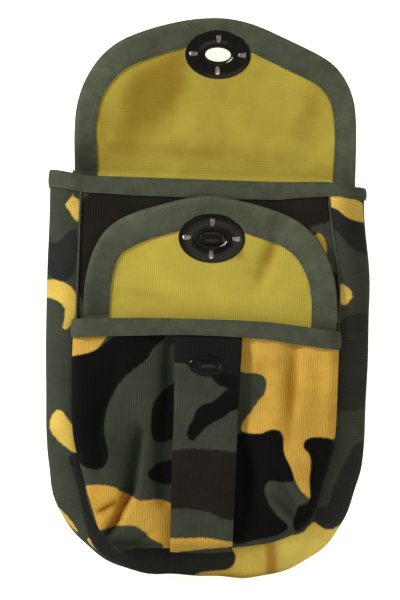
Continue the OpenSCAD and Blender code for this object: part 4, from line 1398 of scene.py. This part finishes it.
class POUCH_OT_turn_buttons(bpy.types.Operator):
    """Finish the turn buttons: domed base, necked knob and clinch plate"""

    bl_idname = "pouch.turn_buttons"
    bl_label = "Turn buttons"

    def execute(self, context):
        for name in ("main", "pocket"):
            self.base(name)
            self.knob(name)
            for node in ("clinch_plate", "spring"):
                solid = frame["nodes"][f"{name}_button_{node}"]
                solid.data.materials.clear()
                solid.data.materials.append(material("worn_prongs"))
        return {"FINISHED"}

    def base(self, name):
        low, high = span(f"{name}_button_base")
        centre = (low + high) / 2
        wide, tall = high[0] - low[0], high[1] - low[1]
        floor, top, bore = FACE_Z if name == "main" else PLEAT[1][2], high[2], 4.0
        rows = []
        for share, lift in (
            (0.0, 0.0), (0.0, 0.85), (0.04, 1.0), (0.14, 1.0), (0.19, 0.86), (0.26, 0.74), (0.42, 0.72),
            (0.6, 0.64), (0.76, 0.52), (0.88, 0.36), (0.96, 0.18), (1.0, 0.0), (0.5, 0.0),
        ):
            rows.append(oval(bore + (wide - bore) * share, bore + (tall - bore) * share,
                             floor + lift * (top - floor), centre))
        rows.append(rows[0])
        # The main base is painted brown, standing in for the reflections seen through the eyelet's hole.
        finish = "reflection_brown_base" if name == "main" else "black_enamel"
        dress(f"{name}_button_base", "enamelled", [tube(rows, capped=False)], [finish])

    def knob(self, name):
        low, high = span(f"{name}_button_knob")
        centre = (low + high) / 2
        wide, tall = high[0] - low[0], high[1] - low[1]
        thick, stem, around = 3.0, 3.3, 48
        under = high[2] - thick
        rows = [oval(stem, stem, z, centre, around) for z in (low[2] + 0.05, under - 0.3)]
        for share, lift in ((0.55, 0.0), (0.92, 0.03), (1.0, 0.16), (1.0, 0.36), (0.96, 0.58), (0.86, 0.77),
                            (0.7, 0.9), (0.5, 0.97), (0.28, 1.0), (0.1, 1.0)):
            rows.append(oval(wide - (1 - share) * tall, tall * share, under + lift * thick, centre, around,
                             square=3.2))
        dress(f"{name}_button_knob", "enamelled", [tube(rows)], ["black_enamel"], f"{name}_knob")


class POUCH_OT_stage(bpy.types.Operator):
    """Set the floor, the backdrop, the soft lights and the camera"""

    bl_idname = "pouch.stage"
    bl_label = "Stage"

    # The photograph's frame: its tall side covers this height at the pouch, seen level and a little turned.
    view_height = 0.300
    view_distance = 1.6
    view_middle = (-0.0048, -0.012, -0.0101)
    roll = math.radians(1.98)
    sensor = 36.0

    # Floor and backdrop: their sides, and how far they keep clear of the pouch.
    floor_side, floor_gap = 1.1, 0.0008
    backdrop_side, backdrop_gap = 0.6, 0.0012

    # Name, place, size, power and colour of each lamp.
    lights = (
        ("day", (-0.85, -0.5, 0.5), 0.22, 11.6, (0.97, 0.985, 1.0)),
        ("lamp", (0.85, -0.65, 0.35), 0.5, 2.8, (1.0, 0.88, 0.68)),
        ("bounce", (0.1, -0.9, -0.1), 0.4, 1.4, (1.0, 0.97, 0.9)),
        ("back", (0.3, 0.9, 0.8), 0.7, 7.0, (1.0, 1.0, 1.0)),
    )

    def execute(self, context):
        scene = context.scene
        scene.view_settings.view_transform = "Standard"
        self.camera(scene)
        self.world(scene)
        low, high = CAD_BOX
        below = Matrix.Translation((0, 0, low[2] - self.floor_gap))
        floor = self.plane("floor", self.floor_side, below)
        upright = Matrix.Rotation(math.radians(90), 4, "X")
        behind = Matrix.Translation((0, high[1] + self.backdrop_gap, low[2] + self.backdrop_side / 2))
        backdrop = self.plane("backdrop", self.backdrop_side, behind @ upright)
        floor.data.materials.append(self.ground("pale_floor", one_sided=False))
        backdrop.data.materials.append(self.ground("pale_backdrop", one_sided=True))
        for ray in ("diffuse", "glossy", "transmission", "shadow"):
            setattr(backdrop, f"visible_{ray}", False)
        for lamp in self.lights:
            self.light(*lamp)
        return {"FINISHED"}

    def camera(self, scene):
        data = bpy.data.cameras.new("camera")
        data.sensor_fit = "VERTICAL"
        data.sensor_height = self.sensor
        data.lens = self.sensor * self.view_distance / self.view_height
        made = bpy.data.objects.new("camera", data)
        scene.collection.objects.link(made)
        right = Vector((math.cos(self.roll), 0, math.sin(self.roll)))
        up = Vector((-math.sin(self.roll), 0, math.cos(self.roll)))
        turn = Matrix((right, up, right.cross(up))).transposed()
        place = Vector(self.view_middle) - Vector((0, self.view_distance, 0))
        made.matrix_world = Matrix.Translation(place) @ turn.to_4x4()
        scene.camera = made

    def world(self, scene):
        scene.world = scene.world or bpy.data.worlds.new("studio")
        scene.world.use_nodes = True
        tree = scene.world.node_tree
        tree.nodes.clear()
        soft, white = (tree.nodes.new("ShaderNodeBackground") for _ in range(2))
        soft.inputs["Strength"].default_value = 0.15
        for node in (soft, white):
            node.inputs["Color"].default_value = (1, 1, 1, 1)
        out = tree.nodes.new("ShaderNodeOutputWorld")
        mixed = self.joined(tree, "Mix", self.background_rays(tree), soft.outputs[0], white.outputs[0])
        tree.links.new(mixed, out.inputs["Surface"])

    def joined(self, tree, kind, *outputs):
        """Shaders mixed or added."""
        node = tree.nodes.new(f"ShaderNode{kind}Shader")
        for output, socket in zip(outputs, node.inputs):
            tree.links.new(output, socket)
        return node.outputs[0]

    def background_rays(self, tree):
        """1 for rays that show the background: the camera's own, and those that metal or glass sends on."""
        path = tree.nodes.new("ShaderNodeLightPath")
        seen = path.outputs["Is Camera Ray"]
        for ray in ("Is Glossy Ray", "Is Transmission Ray"):
            either = tree.nodes.new("ShaderNodeMath")
            either.operation = "MAXIMUM"
            tree.links.new(seen, either.inputs[0])
            tree.links.new(path.outputs[ray], either.inputs[1])
            seen = either.outputs[0]
        return seen

    def plane(self, name, size, place):
        mesh = bpy.data.meshes.new(name)
        half = size / 2
        corners = [(-half, -half, 0), (half, -half, 0), (half, half, 0), (-half, half, 0)]
        mesh.from_pydata(corners, [], [(0, 1, 2, 3)])
        made = bpy.data.objects.new(name, mesh)
        bpy.context.scene.collection.objects.link(made)
        made.matrix_world = place
        return made

    def ground(self, name, one_sided):
        """Pale ground that keeps the pouch's shadow; the backdrop shows from its front alone."""
        nodes = Nodes(name)
        tree = nodes.tree
        nodes.set("Base Color", (*colours().floor, 1))
        nodes.set("Roughness", 0.9)
        nodes.set("Specular IOR Level", 0.1)
        glow = tree.nodes.new("ShaderNodeEmission")
        glow.inputs["Color"].default_value = (*colours().glow, 1)
        glow.inputs["Strength"].default_value = 0.9
        plain = nodes.shader.outputs[0]
        shine = self.joined(tree, "Add", plain, glow.outputs[0])
        seen = self.joined(tree, "Mix", self.background_rays(tree), plain, shine)
        if one_sided:
            geometry = tree.nodes.new("ShaderNodeNewGeometry")
            clear = tree.nodes.new("ShaderNodeBsdfTransparent")
            seen = self.joined(tree, "Mix", geometry.outputs["Backfacing"], seen, clear.outputs[0])
        tree.links.new(seen, tree.nodes["Material Output"].inputs["Surface"])
        return nodes.material

    def light(self, name, place, size, power, colour):
        data = bpy.data.lights.new(name, "AREA")
        data.shape = "DISK"
        data.size = size
        data.energy = power
        data.color = colour
        made = bpy.data.objects.new(name, data)
        bpy.context.scene.collection.objects.link(made)
        made.location = place
        aim = Vector((0, 0, -0.02)) - Vector(place)
        made.rotation_euler = aim.to_track_quat("-Z", "Y").to_euler()


class POUCH_PT_sidebar(bpy.types.Panel):
    """Lists the steps that dress the pouch, and its sizes and colours"""

    bl_idname = "POUCH_PT_sidebar"
    bl_label = "Pouch"
    bl_space_type = "VIEW_3D"
    bl_region_type = "UI"
    bl_category = "Pouch"

    def draw(self, context):
        for operator in STEPS:
            self.layout.operator(operator.bl_idname)
        for group in (context.scene.pouch_sizes, context.scene.pouch_colours):
            for name in group.__annotations__:
                self.layout.prop(group, name)


STEPS = (
    POUCH_OT_panels, POUCH_OT_gusset, POUCH_OT_mouth_binding, POUCH_OT_pocket, POUCH_OT_flaps,
    POUCH_OT_belt_loops, POUCH_OT_eyelets, POUCH_OT_turn_buttons, POUCH_OT_stage,
)
CLASSES = (PouchColours, PouchSizes, *STEPS, POUCH_PT_sidebar)


def register():
    for cls in CLASSES:
        bpy.utils.register_class(cls)
    bpy.types.Scene.pouch_colours = bpy.props.PointerProperty(type=PouchColours)
    bpy.types.Scene.pouch_sizes = bpy.props.PointerProperty(type=PouchSizes)


def unregister():
    del bpy.types.Scene.pouch_sizes
    del bpy.types.Scene.pouch_colours
    for cls in reversed(CLASSES):
        bpy.utils.unregister_class(cls)


def main():
    register()
    bpy.ops.pouch.panels()
    bpy.ops.pouch.gusset()
    bpy.ops.pouch.mouth_binding()
    bpy.ops.pouch.pocket()
    bpy.ops.pouch.flaps()
    bpy.ops.pouch.belt_loops()
    bpy.ops.pouch.eyelets()
    bpy.ops.pouch.turn_buttons()
    bpy.ops.pouch.stage()
    bpy.context.view_layer.update()


if __name__ == "__main__":
    main()
